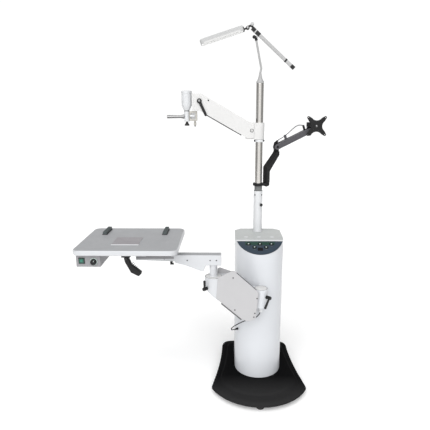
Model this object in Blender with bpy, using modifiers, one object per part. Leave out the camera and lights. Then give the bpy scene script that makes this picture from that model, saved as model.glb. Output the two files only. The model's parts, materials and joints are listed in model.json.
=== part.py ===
"""An ophthalmic refraction stand: column, pole, phoropter arm, lamp, monitor arm and instrument table.

Every size is in metres. Places are given in the stand's own frame: X right, Y back, Z up, with the
column's front arc centred on X 0, Y -0.01. The empty stand_origin puts that frame in the world, so
that the object's box is centred on the world's origin and stands on Z 0.
"""

import math

import bmesh
import bpy
from mathutils import Matrix, Vector

GAP = 0.0003  # clearance between pieces that touch

STAND_X = 0.2668
STAND_Y = 0.0146

BASE_BOTTOM = 0.025
BASE_TOP = 0.0725
FOOT_RADIUS = 0.022

COLUMN_RADIUS = 0.135
COLUMN_ARC_Y = -0.01
COLUMN_BACK = 0.19
COLUMN_CHAMFER = 0.035
COLUMN_WALL = 0.002
COLUMN_LIP = 0.005
CAP_BOTTOM = 0.8683
CAP_TOP = 0.876
PANEL_BACK_Y = -0.05
PANEL_SLOPE = math.radians(27.3)

POLE_Y = 0.14
POLE_RADIUS = 0.021
POLE_TOP = 1.722
POLE_BORE = POLE_RADIUS + GAP
SOCKET_TOP = 1.120
KNOB_Z = 1.04

ARM_PIVOT_X = -0.05
ARM_PIVOT_Z = 1.465
HEAD_PIVOT_X = -0.3364
HEAD_PIVOT_Z = 1.629
ARM_HALF_WIDTH = 0.0325
ARM_PLATE = 0.003
ARM_CHEEK = ARM_HALF_WIDTH - ARM_PLATE - GAP
BARREL_X = -0.4096
BARREL_RADIUS = 0.0290
SPINDLE_RADIUS = 0.0145

LAMP_ELBOW = Vector((-0.026, POLE_Y, 1.957))
LAMP_HINGE = Vector((-0.072, POLE_Y, 2.008))
LAMP_ARM_TURN = math.radians(42)
LAMP_HEAD_TURN = math.radians(-17)

MONITOR_POST = Vector((0.046, POLE_Y, 1.166))
MONITOR_ELBOW = Vector((0.108, 0.22, 1.367))
MONITOR_WRIST = Vector((0.316, 0.33, 1.455))
VESA = Vector((0.353, 0.301, 1.4836))

HUB = Vector((0.0, -0.2, 0.6))
HUB_RADIUS = 0.036
HUB_BOTTOM = 0.548
HUB_TOP = 0.652
LIFT_PIVOT = Vector((-0.05, -0.2, 0.608))
LIFT_LENGTH = 0.16
LIFT_SLOPE = math.radians(37)
LINK_DROP = 0.042
LIFT_HALF_WIDTH = 0.05
LIFT_PLATE = 0.003
KNUCKLE_HALF_WIDTH = LIFT_HALF_WIDTH - LIFT_PLATE - 0.0005

SHAFT_X = -0.2537
SHAFT_Y = -0.2
SHAFT_RADIUS = 0.0205
KNUCKLE_TOP = 0.72
TABLE_ARM_TOP = 0.843
TABLE_BOTTOM = 0.889
TABLE_TOP = 0.915
TABLE_X = (-0.945, -0.423)
TABLE_Y = (-0.379, 0.047)
PAD_X = -0.700
PAD_Y = -0.215
PAD_SIZE = (0.140, 0.130)
PAD_RISE = 0.003  # how far the slide pad stands above the table
PAD_DEPTH = 0.008

PLACES = {}
PARTS = bpy.data.collections.new("refraction_stand")
CUTTERS = bpy.data.collections.new("cutters")


def clear_scene():
    for piece in list(bpy.data.objects):
        bpy.data.objects.remove(piece, do_unlink=True)


def look(name, colour, roughness, metallic=0.0):
    """A plain Principled material, whose colour is in linear light."""
    material = bpy.data.materials.new(name)
    material.use_nodes = True
    shader = material.node_tree.nodes["Principled BSDF"]
    shader.inputs["Base Color"].default_value = (*colour, 1.0)
    shader.inputs["Roughness"].default_value = roughness
    shader.inputs["Metallic"].default_value = metallic
    return material


def pivot(name, at, parent=None):
    """An empty at a joint's axis, or at the frame's own origin."""
    empty = bpy.data.objects.new(name, None)
    PARTS.objects.link(empty)
    PLACES[name] = Vector(at)
    empty.location = PLACES[name]
    if parent:
        empty.parent = parent
        empty.location = PLACES[name] - PLACES[parent.name]
    return empty


def hold(piece, name, parent, material):
    """Names a piece that was made in the stand's frame, and hangs it on its pivot."""
    for collection in list(piece.users_collection):
        collection.objects.unlink(piece)
    PARTS.objects.link(piece)
    piece.name = name
    piece.data.name = name
    piece.data.materials.clear()
    piece.data.materials.append(material)
    piece.parent = parent
    piece.location = piece.location - PLACES[parent.name]
    return piece


def bevel(piece, width, segments=2):
    edge = piece.modifiers.new("edge", "BEVEL")
    edge.width = width
    edge.segments = segments
    edge.limit_method = "ANGLE"
    edge.angle_limit = math.radians(40)


def box(name, size, at, parent, material, edge=0.0, turn=(0, 0, 0)):
    bpy.ops.mesh.primitive_cube_add(size=1, location=at, rotation=turn)
    piece = bpy.context.object
    piece.data.transform(Matrix.Diagonal((*size, 1)))
    if edge:
        bevel(piece, edge)
    return hold(piece, name, parent, material)


def rod(name, radius, depth, at, parent, material):
    """An upright cylinder."""
    bpy.ops.mesh.primitive_cylinder_add(vertices=24, radius=radius, depth=depth, location=at)
    return hold(bpy.context.object, name, parent, material)


def turned(name, profile, at, parent, material, turn=(0, 0, 0), steps=24, ring=False):
    """A solid of revolution. The profile runs down its outer side; a ring's closes on itself."""
    mesh = bpy.data.meshes.new(name)
    edges = [(i, i + 1) for i in range(len(profile) - 1)]
    if ring:
        edges.append((len(profile) - 1, 0))
    mesh.from_pydata([(radius, 0, z) for radius, z in profile], edges, [])
    piece = bpy.data.objects.new(name, mesh)
    PARTS.objects.link(piece)
    piece.location = at
    piece.rotation_euler = turn
    screw = piece.modifiers.new("turn", "SCREW")
    screw.steps = steps
    screw.render_steps = steps
    screw.use_merge_vertices = True
    screw.merge_threshold = 0.0001
    return hold(piece, name, parent, material)


def ring_profile(inner, outer, bottom, top, edge=0.001):
    """A tube's section with its outer corners broken."""
    return [
        (inner, top),
        (outer - edge, top),
        (outer, top - edge),
        (outer, bottom + edge),
        (outer - edge, bottom),
        (inner, bottom),
    ]


def disc_profile(radius, bottom, top, edge=0.001):
    return [
        (0, top),
        (radius - edge, top),
        (radius, top - edge),
        (radius, bottom + edge),
        (radius - edge, bottom),
        (0, bottom),
    ]


def arc(centre, radius, start, end, steps):
    """Points on a circle, from one angle to another, in degrees."""
    points = []
    for i in range(steps + 1):
        angle = math.radians(start + (end - start) * i / steps)
        points.append((centre[0] + radius * math.cos(angle), centre[1] + radius * math.sin(angle)))
    return points


def rounded(corners, radius, steps=3):
    """An outline with its corners rounded, by one radius or by one for each corner."""
    radii = radius if isinstance(radius, (list, tuple)) else [radius] * len(corners)
    points = []
    for i, size in enumerate(radii):
        here = Vector(corners[i])
        if not size:
            points.append(tuple(here))
            continue
        before = (Vector(corners[i - 1]) - here).normalized()
        after = (Vector(corners[(i + 1) % len(corners)]) - here).normalized()
        half = before.angle(after) / 2
        centre = here + (before + after).normalized() * size / math.sin(half)
        first = here + before * size / math.tan(half) - centre
        last = here + after * size / math.tan(half) - centre
        sweep = first.angle(last)
        for step in range(steps + 1):
            part = step / steps
            mix = first * math.sin((1 - part) * sweep) + last * math.sin(part * sweep)
            points.append(tuple(centre + mix / math.sin(sweep)))
    return points


def capsule(start, end, radius, steps=6):
    """The outline of a bar with round ends."""
    along = Vector(end) - Vector(start)
    angle = math.degrees(math.atan2(along.y, along.x))
    near = arc(start, radius, angle + 90, angle + 270, steps)
    return near + arc(end, radius, angle - 90, angle + 90, steps)


def flat(name, outlines, thickness, at, parent, material, turn=(0, 0, 0), edge=0.0):
    """A plate: the first outline, less any others, centred on its own plane."""
    curve = bpy.data.curves.new(name, "CURVE")
    curve.dimensions = "2D"
    curve.fill_mode = "BOTH"
    curve.extrude = thickness / 2 - edge
    curve.bevel_depth = edge
    curve.bevel_resolution = 0
    curve.offset = -edge
    for points in outlines:
        spline = curve.splines.new("POLY")
        spline.points.add(len(points) - 1)
        for point, (x, y) in zip(spline.points, points):
            point.co = (x, y, 0, 1)
        spline.use_cyclic_u = True
    piece = bpy.data.objects.new(name, curve)
    PARTS.objects.link(piece)
    piece.location = at
    piece.rotation_euler = turn
    return hold(piece, name, parent, material)


UPRIGHT = (math.radians(90), 0, 0)  # turns a plate's X and Y into the world's X and Z


def side_plate(name, outlines, y, thickness, parent, material, edge=0.0):
    """A plate standing in the XZ plane, with its outline given as (x, z)."""
    return flat(name, outlines, thickness, (0, y, 0), parent, material, UPRIGHT, edge)


def tube(name, points, radius, parent, material, sides=2):
    curve = bpy.data.curves.new(name, "CURVE")
    curve.dimensions = "3D"
    curve.bevel_depth = radius
    curve.bevel_resolution = sides
    curve.use_fill_caps = True
    spline = curve.splines.new("POLY")
    spline.points.add(len(points) - 1)
    for point, place in zip(spline.points, points):
        point.co = (*place, 1)
    piece = bpy.data.objects.new(name, curve)
    PARTS.objects.link(piece)
    return hold(piece, name, parent, material)


def smooth_route(route, steps):
    """Points on a smooth curve through the route's own points (Catmull-Rom)."""
    ends = [route[0]] + list(route) + [route[-1]]
    places = [Vector(point) for point in ends]
    points = []
    for i in range(1, len(places) - 2):
        before, start, end, after = places[i - 1 : i + 3]
        for step in range(steps):
            t = step / steps
            bend = (
                2 * start
                + (end - before) * t
                + (2 * before - 5 * start + 4 * end - after) * t**2
                + (3 * start - before - 3 * end + after) * t**3
            )
            points.append(tuple(bend / 2))
    points.append(tuple(places[-1]))
    return points


def to_mesh(piece):
    """Makes a curve a mesh, with its caps welded, so that it can be cut."""
    graph = bpy.context.evaluated_depsgraph_get()
    mesh = bpy.data.meshes.new_from_object(piece.evaluated_get(graph))
    work = bmesh.new()
    work.from_mesh(mesh)
    bmesh.ops.remove_doubles(work, verts=work.verts, dist=0.00001)
    bmesh.ops.recalc_face_normals(work, faces=work.faces)
    work.to_mesh(mesh)
    work.free()
    name = piece.name
    solid = bpy.data.objects.new(name, mesh)
    PARTS.objects.link(solid)
    solid.parent = piece.parent
    solid.location = piece.location
    solid.rotation_euler = piece.rotation_euler
    bpy.data.objects.remove(piece)
    solid.name = name
    return solid


def cut(piece, cutter, operation="DIFFERENCE"):
    """Cuts a piece with a hidden helper, or joins the helper to it."""
    for collection in list(cutter.users_collection):
        collection.objects.unlink(cutter)
    CUTTERS.objects.link(cutter)
    cutter.hide_render = True
    cutter.display_type = "WIRE"
    join = piece.modifiers.new(cutter.name, "BOOLEAN")
    join.operation = operation
    join.solver = "EXACT"
    join.object = cutter
    return piece


def sheet(name, path, bottom, top_of, thickness, at, parent, material):
    """A bent sheet-metal wall: an open strip along a path, thickened inwards."""
    mesh = bpy.data.meshes.new(name)
    work = bmesh.new()
    lower = [work.verts.new((x, y, bottom)) for x, y in path]
    upper = [work.verts.new((x, y, top_of(y))) for x, y in path]
    for i in range(len(path) - 1):
        work.faces.new((lower[i], lower[i + 1], upper[i + 1], upper[i]))
    work.to_mesh(mesh)
    work.free()
    piece = bpy.data.objects.new(name, mesh)
    PARTS.objects.link(piece)
    piece.location = at
    wall = piece.modifiers.new("wall", "SOLIDIFY")
    wall.thickness = thickness
    wall.offset = -1
    wall.use_even_offset = True
    return hold(piece, name, parent, material)


def loft(name, rings, parent, material):
    """A closed solid through level outlines of equal point counts, lowest first."""
    mesh = bpy.data.meshes.new(name)
    work = bmesh.new()
    rows = [[work.verts.new(point) for point in ring] for ring in rings]
    for lower, upper in zip(rows, rows[1:]):
        for i in range(len(lower)):
            after = (i + 1) % len(lower)
            work.faces.new((lower[i], lower[after], upper[after], upper[i]))
    work.faces.new(rows[0][::-1])
    work.faces.new(rows[-1])
    bmesh.ops.recalc_face_normals(work, faces=work.faces)
    work.to_mesh(mesh)
    work.free()
    piece = bpy.data.objects.new(name, mesh)
    PARTS.objects.link(piece)
    return hold(piece, name, parent, material)


def base_outline():
    """The bell-shaped plan: a round front, flared sides and rounded back corners."""
    front_radius = 0.305
    corner_angle = 61.2
    back = 0.305
    back_half = 0.213
    shoulder = 0.235  # where the flared side meets the rear corner
    widest = 0.2674
    flare = widest - back_half
    front = arc((0, -0.044), front_radius, -90, -90 + corner_angle, 8)
    corner_y = front[-1][1]
    side = []
    for i in range(1, 8):
        y = corner_y + (shoulder - corner_y) * i / 7
        reach = (shoulder - y) / (shoulder - corner_y)
        side.append((back_half + flare * max(0.0, reach) ** 1.7, y))
    side[0] = (side[0][0] + 0.001, side[0][1])
    rear = arc((back_half - 0.055, back - 0.055), 0.055, 0, 90, 4)
    half = front + side + rear
    return half + [(-x, y) for x, y in half[:0:-1]]


def build_base(stand, black, rubber):
    outline = base_outline()
    levels = [
        (0.985, BASE_BOTTOM),
        (1.0, BASE_BOTTOM + 0.004),
        (1.0, BASE_BOTTOM + 0.018),
        (0.985, BASE_BOTTOM + 0.028),
        (0.955, BASE_BOTTOM + 0.0335),
        (0.865, BASE_BOTTOM + 0.0365),
        (0.845, BASE_BOTTOM + 0.0385),
        (0.83, BASE_TOP - 0.0035),
        (0.80, BASE_TOP),
    ]
    rings = [[(x * scale, y * scale, z) for x, y in outline] for scale, z in levels]
    loft("base_casting", rings, stand, black)
    feet = {
        "front": (0.0, -0.308),
        "front_left": (-0.222, -0.165),
        "front_right": (0.222, -0.165),
        "rear_left": (-0.155, 0.235),
        "rear_right": (0.155, 0.235),
    }
    profile = [
        (0, BASE_BOTTOM - GAP),
        (0.008, BASE_BOTTOM - GAP),
        (0.008, 0.015),
        (FOOT_RADIUS - 0.004, 0.014),
        (FOOT_RADIUS, 0.009),
        (FOOT_RADIUS, 0.002),
        (FOOT_RADIUS - 0.002, 0),
        (0, 0),
    ]
    for place, (x, y) in feet.items():
        turned(f"levelling_foot_{place}", profile, (x, y, 0), stand, rubber, steps=16)


def panel_height(y):
    """The top of the column's wall, which follows the sloping keypad at the front."""
    return min(CAP_BOTTOM - GAP, CAP_BOTTOM - GAP + (y - PANEL_BACK_Y) * math.tan(PANEL_SLOPE))


def build_column(stand, white, grey, dark, key_look):
    side_end = COLUMN_BACK - COLUMN_CHAMFER - COLUMN_LIP
    centre = (0, COLUMN_ARC_Y)
    chord = math.degrees(math.asin((COLUMN_ARC_Y - PANEL_BACK_Y) / COLUMN_RADIUS))
    left = arc(centre, COLUMN_RADIUS, 180, 180 + chord, 2)
    front = arc(centre, COLUMN_RADIUS, 180 + chord, 360 - chord, 20)
    right = arc(centre, COLUMN_RADIUS, 360 - chord, 360, 2)
    path = [(-COLUMN_RADIUS, side_end - GAP)] + left + front[1:-1] + right
    path.append((COLUMN_RADIUS, side_end - GAP))
    bottom = BASE_TOP + GAP
    sheet("column_shell", path, bottom, panel_height, COLUMN_WALL, (0, 0, 0), stand, white)
    corner = COLUMN_BACK - COLUMN_CHAMFER
    inner = COLUMN_RADIUS - COLUMN_CHAMFER
    rear = [(COLUMN_RADIUS, side_end), (COLUMN_RADIUS, corner), (inner, COLUMN_BACK)]
    rear += [(-x, y) for x, y in rear[::-1]]

    def level_top(_y):
        return CAP_BOTTOM - GAP

    sheet("column_rear_cover", rear, bottom, level_top, COLUMN_WALL, (0, 0, 0), stand, white)
    outline = left[::-1] + [(-COLUMN_RADIUS, corner), (-inner, COLUMN_BACK)]
    outline += [(-x, y) for x, y in outline[::-1]]
    thickness = CAP_TOP - CAP_BOTTOM
    middle = (0, 0, CAP_BOTTOM + thickness / 2)
    flat("column_top_cap", [outline], thickness, middle, stand, grey, edge=0.0015)
    build_keypad(stand, dark, key_look)


def build_keypad(stand, dark, key_look):
    """The sloping half-round keypad that closes the column's front, and its five keys."""
    radius = COLUMN_RADIUS - COLUMN_WALL - 0.0012
    depth = 0.004
    back = COLUMN_ARC_Y - PANEL_BACK_Y + 0.0015
    reach = math.degrees(math.acos(back / radius))
    outline = []
    for x, y in arc((0, 0), radius, -90 - reach, -90 + reach, 16):
        outline.append((x, (y + back) / math.cos(PANEL_SLOPE)))
    at = Vector((0, PANEL_BACK_Y - 0.0015, CAP_BOTTOM - 0.002))
    down = Vector((0, -math.cos(PANEL_SLOPE), -math.sin(PANEL_SLOPE)))
    normal = Vector((0, -math.sin(PANEL_SLOPE), math.cos(PANEL_SLOPE)))
    turn = (PANEL_SLOPE, 0, 0)
    flat("keypad_panel", [outline], depth, at, stand, dark, turn, edge=0.0006)
    keys = [(-0.063, 0.022), (0.0, 0.022), (0.063, 0.022), (-0.031, 0.047), (0.033, 0.047)]
    for number, (x, along) in enumerate(keys, 1):
        place = at + down * along + Vector((x, 0, 0)) + normal * (depth / 2 + GAP)
        rest = pivot(f"key_{number}_slide", place, stand)
        button = disc_profile(0.0075, 0, 0.0025, 0.0008)
        turned(f"key_{number}", button, place, rest, key_look, turn, steps=14)


def build_pole(stand, white, steel, grey, black):
    axis = (0, POLE_Y, 0)
    socket = ring_profile(POLE_BORE, 0.026, CAP_TOP + GAP, SOCKET_TOP, 0.0015)
    turned("pole_socket", socket, axis, stand, white, ring=True)
    bore_turn = (math.radians(90), 0, math.radians(30))
    outward = Vector((math.sin(math.radians(30)), -math.cos(math.radians(30)), 0))
    centre = Vector((0, POLE_Y, KNOB_Z))
    knob = pivot("pole_lock_turn", centre + outward * 0.0264, stand)
    grip = [(0, 0.012), (0.007, 0.012), (0.0085, 0.0105), (0.0085, 0.004), (0.005, 0.003), (0.005, 0), (0, 0)]
    turned("pole_lock_knob", grip, centre + outward * 0.0272, knob, black, bore_turn, steps=14)
    turned("steel_pole", disc_profile(POLE_RADIUS, CAP_TOP + 0.0005, POLE_TOP), axis, stand, steel, steps=28)
    cap = [(0, 1.775), (0.0062, 1.775), (0.0085, 1.76), (0.013, 1.744), (0.0205, 1.7305)]
    cap += [(POLE_RADIUS, 1.729), (POLE_RADIUS, POLE_TOP + GAP), (0, POLE_TOP + GAP)]
    turned("pole_top_cap", cap, axis, stand, grey)


def tongue_outline(centre, radius, tip_x, half_width):
    """A hub's plan: a circle with a square tongue that runs towards -X."""
    angle = math.degrees(math.asin(half_width / radius)) if half_width < radius else 90
    circle = arc(centre, radius, 180 + angle, 540 - angle, 18)
    shoulder = min(circle[-1][0], circle[0][0])
    tip = [(shoulder, centre[1] + half_width)] if half_width > radius else []
    tip += [(tip_x, centre[1] + half_width), (tip_x, centre[1] - half_width)]
    tip += [(shoulder, centre[1] - half_width)] if half_width > radius else []
    return circle + tip


def build_phoropter_arm(stand, white, dark, black, chrome, beige):
    swivel = pivot("phoropter_swivel", (0, POLE_Y, 1.463), stand)
    bore = arc((0, POLE_Y), POLE_BORE + 0.0002, 0, 345, 23)
    hub_outline = tongue_outline((0, POLE_Y), 0.0282, -0.078, 0.0275)
    flat("arm_hub", [hub_outline, bore], 0.092, (0, 0, 1.463), swivel, white)
    lift = pivot("phoropter_lift", (ARM_PIVOT_X, POLE_Y, ARM_PIVOT_Z), swivel)
    corners = [
        (-0.0315, 1.5085),
        (-0.0560, 1.5120),
        (-0.3270, 1.6690),
        (-0.3660, 1.6690),
        (-0.3660, 1.5790),
        (-0.3400, 1.5790),
        (-0.0680, 1.4240),
        (-0.0315, 1.4240),
    ]
    outline = rounded(corners, [0.004, 0.012, 0.012, 0.006, 0.006, 0.010, 0.010, 0.004])
    middle = ARM_HALF_WIDTH - ARM_PLATE / 2
    side_plate("arm_front_cover", [outline], POLE_Y - middle, ARM_PLATE, lift, white, 0.0006)
    side_plate("arm_rear_cover", [outline], POLE_Y + middle, ARM_PLATE, lift, white, 0.0006)
    slope = math.atan2(HEAD_PIVOT_Z - ARM_PIVOT_Z, ARM_PIVOT_X - HEAD_PIVOT_X)
    centre = ((ARM_PIVOT_X + HEAD_PIVOT_X) / 2, POLE_Y, (ARM_PIVOT_Z + HEAD_PIVOT_Z) / 2)
    box("arm_spring_tube", (0.20, 0.028, 0.028), centre, lift, dark, 0.003, (0, slope, 0))

    level = pivot("phoropter_level", (HEAD_PIVOT_X, POLE_Y, HEAD_PIVOT_Z), lift)
    block = [
        (-0.3793, 1.6710),
        (-0.3793, 1.5780),
        (-0.3420, 1.5780),
        (-0.3200, 1.5960),
        (-0.3200, 1.6560),
        (-0.3300, 1.6660),
    ]
    outline = rounded(block, [0.001, 0.001, 0.004, 0.004, 0.004, 0.004])
    side_plate("arm_head_block", [outline], POLE_Y, 2 * ARM_CHEEK, level, white)
    barrel = [
        (0, 1.6840),
        (BARREL_RADIUS - 0.001, 1.6840),
        (BARREL_RADIUS + 0.0008, 1.6832),
        (BARREL_RADIUS + 0.0008, 1.6715),
        (BARREL_RADIUS - 0.0006, 1.6705),
        (BARREL_RADIUS - 0.0006, 1.6060),
        (0.0205, 1.5890),
        (0.0180, 1.5800),
        (0, 1.5800),
    ]
    turned("head_barrel", barrel, (BARREL_X, POLE_Y, 0), level, white)

    head = pivot("phoropter_turn", (BARREL_X, POLE_Y, 1.58), level)
    spindle = disc_profile(SPINDLE_RADIUS, 1.5168, 1.5797)
    turned("head_spindle", spindle, (BARREL_X, POLE_Y, 0), head, white)
    bar_start = BARREL_X - SPINDLE_RADIUS - 0.0003
    bar = [(0, 0.0975), (0.0085, 0.0975), (0.0095, 0.0965), (0.0080, 0.02)]
    bar += [(0.0105, 0.012), (0.0105, 0), (0, 0)]
    turned("phoropter_rod", bar, (bar_start, POLE_Y, 1.544), head, chrome, (0, math.radians(-90), 0), 16)
    box("rod_clamp", (0.043, 0.032, 0.054), (-0.3731, POLE_Y, 1.5475), head, beige, 0.003)
    cone = pivot("cone_knob_turn", (BARREL_X, POLE_Y, 1.505), head)
    cone_profile = [(0, 1.5162), (0.0062, 1.5162), (0.0075, 1.509), (0.014, 1.499), (0.014, 1.496)]
    cone_profile += [(0.012, 1.494), (0, 1.494)]
    turned("cone_knob", cone_profile, (BARREL_X, POLE_Y, 0), cone, black, steps=16)
    front = POLE_Y - ARM_HALF_WIDTH - 0.005
    lever = pivot("lock_lever_turn", (HEAD_PIVOT_X, front, HEAD_PIVOT_Z), level)
    ring_centre = (HEAD_PIVOT_X, HEAD_PIVOT_Z)
    end = (-0.3015, 1.5530)
    angle = math.degrees(math.atan2(end[1] - ring_centre[1], end[0] - ring_centre[0]))
    outline = arc(ring_centre, 0.0135, angle + 35, angle + 325, 12)
    outline += arc(end, 0.0072, angle - 90, angle + 90, 5)
    hole = arc(ring_centre, 0.0085, 0, 330, 11)
    side_plate("lock_lever", [outline, hole], front, 0.008, lever, black, 0.0012)


def build_lamp(stand, grey, white):
    swivel = pivot("lamp_swivel", (0, POLE_Y, 1.78), stand)
    bends = [(0, 1.7755), (0, 1.7790), (0.003, 1.7900), (0.0045, 1.8030), (0.001, 1.8180), (-0.025, 1.9440)]
    tube("lamp_stem", [(x, POLE_Y, z) for x, z in bends], 0.0055, swivel, grey, 3)
    tilt = pivot("lamp_arm_tilt", LAMP_ELBOW, swivel)
    along = Vector((math.cos(LAMP_ARM_TURN), 0, -math.sin(LAMP_ARM_TURN)))
    up = Vector((math.sin(LAMP_ARM_TURN), 0, math.cos(LAMP_ARM_TURN)))
    centre = LAMP_ELBOW + along * 0.108 + up * 0.0225
    turn = (0, LAMP_ARM_TURN, 0)
    box("lamp_arm", (0.305, 0.012, 0.018), centre, tilt, grey, 0.002, turn)
    head = pivot("lamp_head_tilt", LAMP_HINGE, tilt)
    reach = Vector((-math.cos(LAMP_HEAD_TURN), 0, math.sin(LAMP_HEAD_TURN)))
    above = Vector((math.sin(LAMP_HEAD_TURN), 0, math.cos(LAMP_HEAD_TURN)))
    head_turn = (0, LAMP_HEAD_TURN, 0)
    corners = [(-0.121, -0.026), (0.121, -0.026), (0.121, 0.026), (-0.121, 0.026)]
    outline = rounded(corners, [0.022, 0.008, 0.008, 0.022])
    middle = LAMP_HINGE + reach * 0.146 + above * 0.004
    flat("lamp_shade", [outline], 0.030, middle, head, white, head_turn, 0.003)


def vertical_plane(start, end):
    """The turn that stands a plate in the upright plane through two places."""
    return (math.radians(90), 0, math.atan2(end.y - start.y, end.x - start.x))


def build_monitor_arm(stand, black, dark):
    ring = arc((0, 0), POLE_BORE + 0.0002, 0, 345, 23)
    reach = MONITOR_POST.x
    outer = arc((0, 0), 0.0315, 35, 325, 18) + arc((reach, 0), 0.0185, -70, 70, 6)
    flat("monitor_clamp", [outer, ring], 0.015, (0, POLE_Y, 1.158), stand, black, edge=0.001)
    swivel = pivot("monitor_swivel", MONITOR_POST, stand)
    span = (MONITOR_ELBOW - MONITOR_POST).to_2d().length
    turn = vertical_plane(MONITOR_POST, MONITOR_ELBOW)
    low = MONITOR_POST.z
    corners = [
        (-0.0155, low),
        (0.0155, low),
        (0.0155, 1.232),
        (span + 0.0155, 1.318),
        (span + 0.0155, 1.3405),
        (span - 0.0155, 1.3405),
        (span - 0.0155, 1.336),
        (-0.0155, 1.262),
    ]
    outline = rounded(corners, [0, 0, 0.01, 0.012, 0, 0, 0, 0.008])
    place = (MONITOR_POST.x, MONITOR_POST.y, 0)
    flat("monitor_lower_arm", [outline], 0.031, place, swivel, black, turn, 0.003)
    elbow = pivot("monitor_elbow_swivel", MONITOR_ELBOW, swivel)
    turn = vertical_plane(MONITOR_ELBOW, MONITOR_WRIST)
    corners = [(-0.0155, 1.3410), (0.0155, 1.3410), (0.0155, 1.392), (-0.0155, 1.402)]
    lug = rounded(corners, [0, 0, 0.012, 0.012])
    flat("monitor_elbow", [lug], 0.0130, (MONITOR_ELBOW.x, MONITOR_ELBOW.y, 0), elbow, black, turn, 0.001)
    lift = pivot("monitor_lift", MONITOR_ELBOW, elbow)
    span = (MONITOR_WRIST - MONITOR_ELBOW).to_2d().length
    rise = MONITOR_WRIST.z
    outline = capsule((0, MONITOR_ELBOW.z), (span, rise), 0.0165, 6)
    place = (MONITOR_ELBOW.x, MONITOR_ELBOW.y, 0)
    arm = to_mesh(flat("monitor_upper_arm", [outline], 0.030, place, lift, dark, turn, 0.002))
    for name, place in (("elbow_slot", MONITOR_ELBOW), ("wrist_slot", MONITOR_WRIST)):
        slot = box(name, (0.066, 0.0140, 0.12), place, lift, dark, 0, (0, 0, turn[2]))
        cut(arm, slot)
    level = pivot("monitor_level", MONITOR_WRIST, lift)
    corners = [(-0.0155, 1.425), (0.0155, 1.425), (0.0155, 1.478), (-0.0155, 1.478)]
    lug = rounded(corners, [0.010, 0.010, 0, 0])
    flat("monitor_wrist", [lug], 0.0130, (MONITOR_WRIST.x, MONITOR_WRIST.y, 0), level, black, turn, 0.001)

    swing = pivot("vesa_swivel", (MONITOR_WRIST.x, MONITOR_WRIST.y, 1.4785), level)
    front = VESA.y + 0.003
    plan = arc((MONITOR_WRIST.x, MONITOR_WRIST.y), 0.017, 60, 200, 8)
    plan += [(VESA.x - 0.014, front), (VESA.x + 0.014, front), (VESA.x + 0.014, front + 0.012)]
    flat("vesa_bracket", [plan], 0.027, (0, 0, 1.4920), swing, black, edge=0.001)
    tilt = pivot("vesa_tilt", (VESA.x, front, VESA.z), swing)
    half = 0.0575
    hole = 0.05
    outline = []
    for quarter in range(4):
        tip = arc((hole, hole), 0.0085, -45, 135, 5)
        side = [(x, y) for x, y in arc((0, half + 0.0115), 0.036, -37, -143, 7)]
        spin = Matrix.Rotation(math.radians(90 * quarter), 2)
        outline += [tuple(spin @ Vector(point)) for point in tip + side]
    holes = []
    for x in (-hole, hole):
        for y in (-hole, hole):
            holes.append(arc((x, y), 0.0025, 0, 315, 7))
    at = (VESA.x, front - 0.0123 - 0.0015, VESA.z)
    plate = to_mesh(flat("vesa_plate", [outline] + holes, 0.003, at, tilt, black, UPRIGHT))
    boss_at = (VESA.x, front, VESA.z)
    boss = turned("vesa_boss", disc_profile(0.009, 0.0028, 0.0140, 0.0005), boss_at, tilt, black, UPRIGHT, 16)
    cut(plate, boss, "UNION")
    start = MONITOR_ELBOW + Vector((0.004, 0.002, 0.0358))
    end = MONITOR_WRIST + Vector((-0.0333, -0.0161, 0.030))
    middle = start.lerp(end, 0.3) + Vector((0, 0, 0.004))
    high = start.lerp(end, 0.72) + Vector((0, 0, 0.024))
    tube("monitor_cable", smooth_route([start, middle, high, end], 10), 0.0025, lift, dark)


def lever_handle(name, start, end, foot, parent, material):
    """A clamp lever: a hub along one line and a tapered handle along another, joined to one solid."""
    along = end - start
    hub_turn = (start - foot).to_track_quat("Z", "Y").to_euler()
    reach = (start - foot).length
    hub = turned(name, disc_profile(0.0095, 0, reach + 0.009, 0.0015), foot, parent, material, hub_turn, 14)
    handle_turn = along.to_track_quat("Z", "Y").to_euler()
    tip = along.length
    profile = [(0, tip), (0.0050, tip), (0.0070, tip - 0.003), (0.0052, 0.008), (0.0075, 0), (0, 0)]
    handle = turned(name + "_handle", profile, start, parent, material, handle_turn, 12)
    return cut(hub, handle, "UNION")


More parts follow.
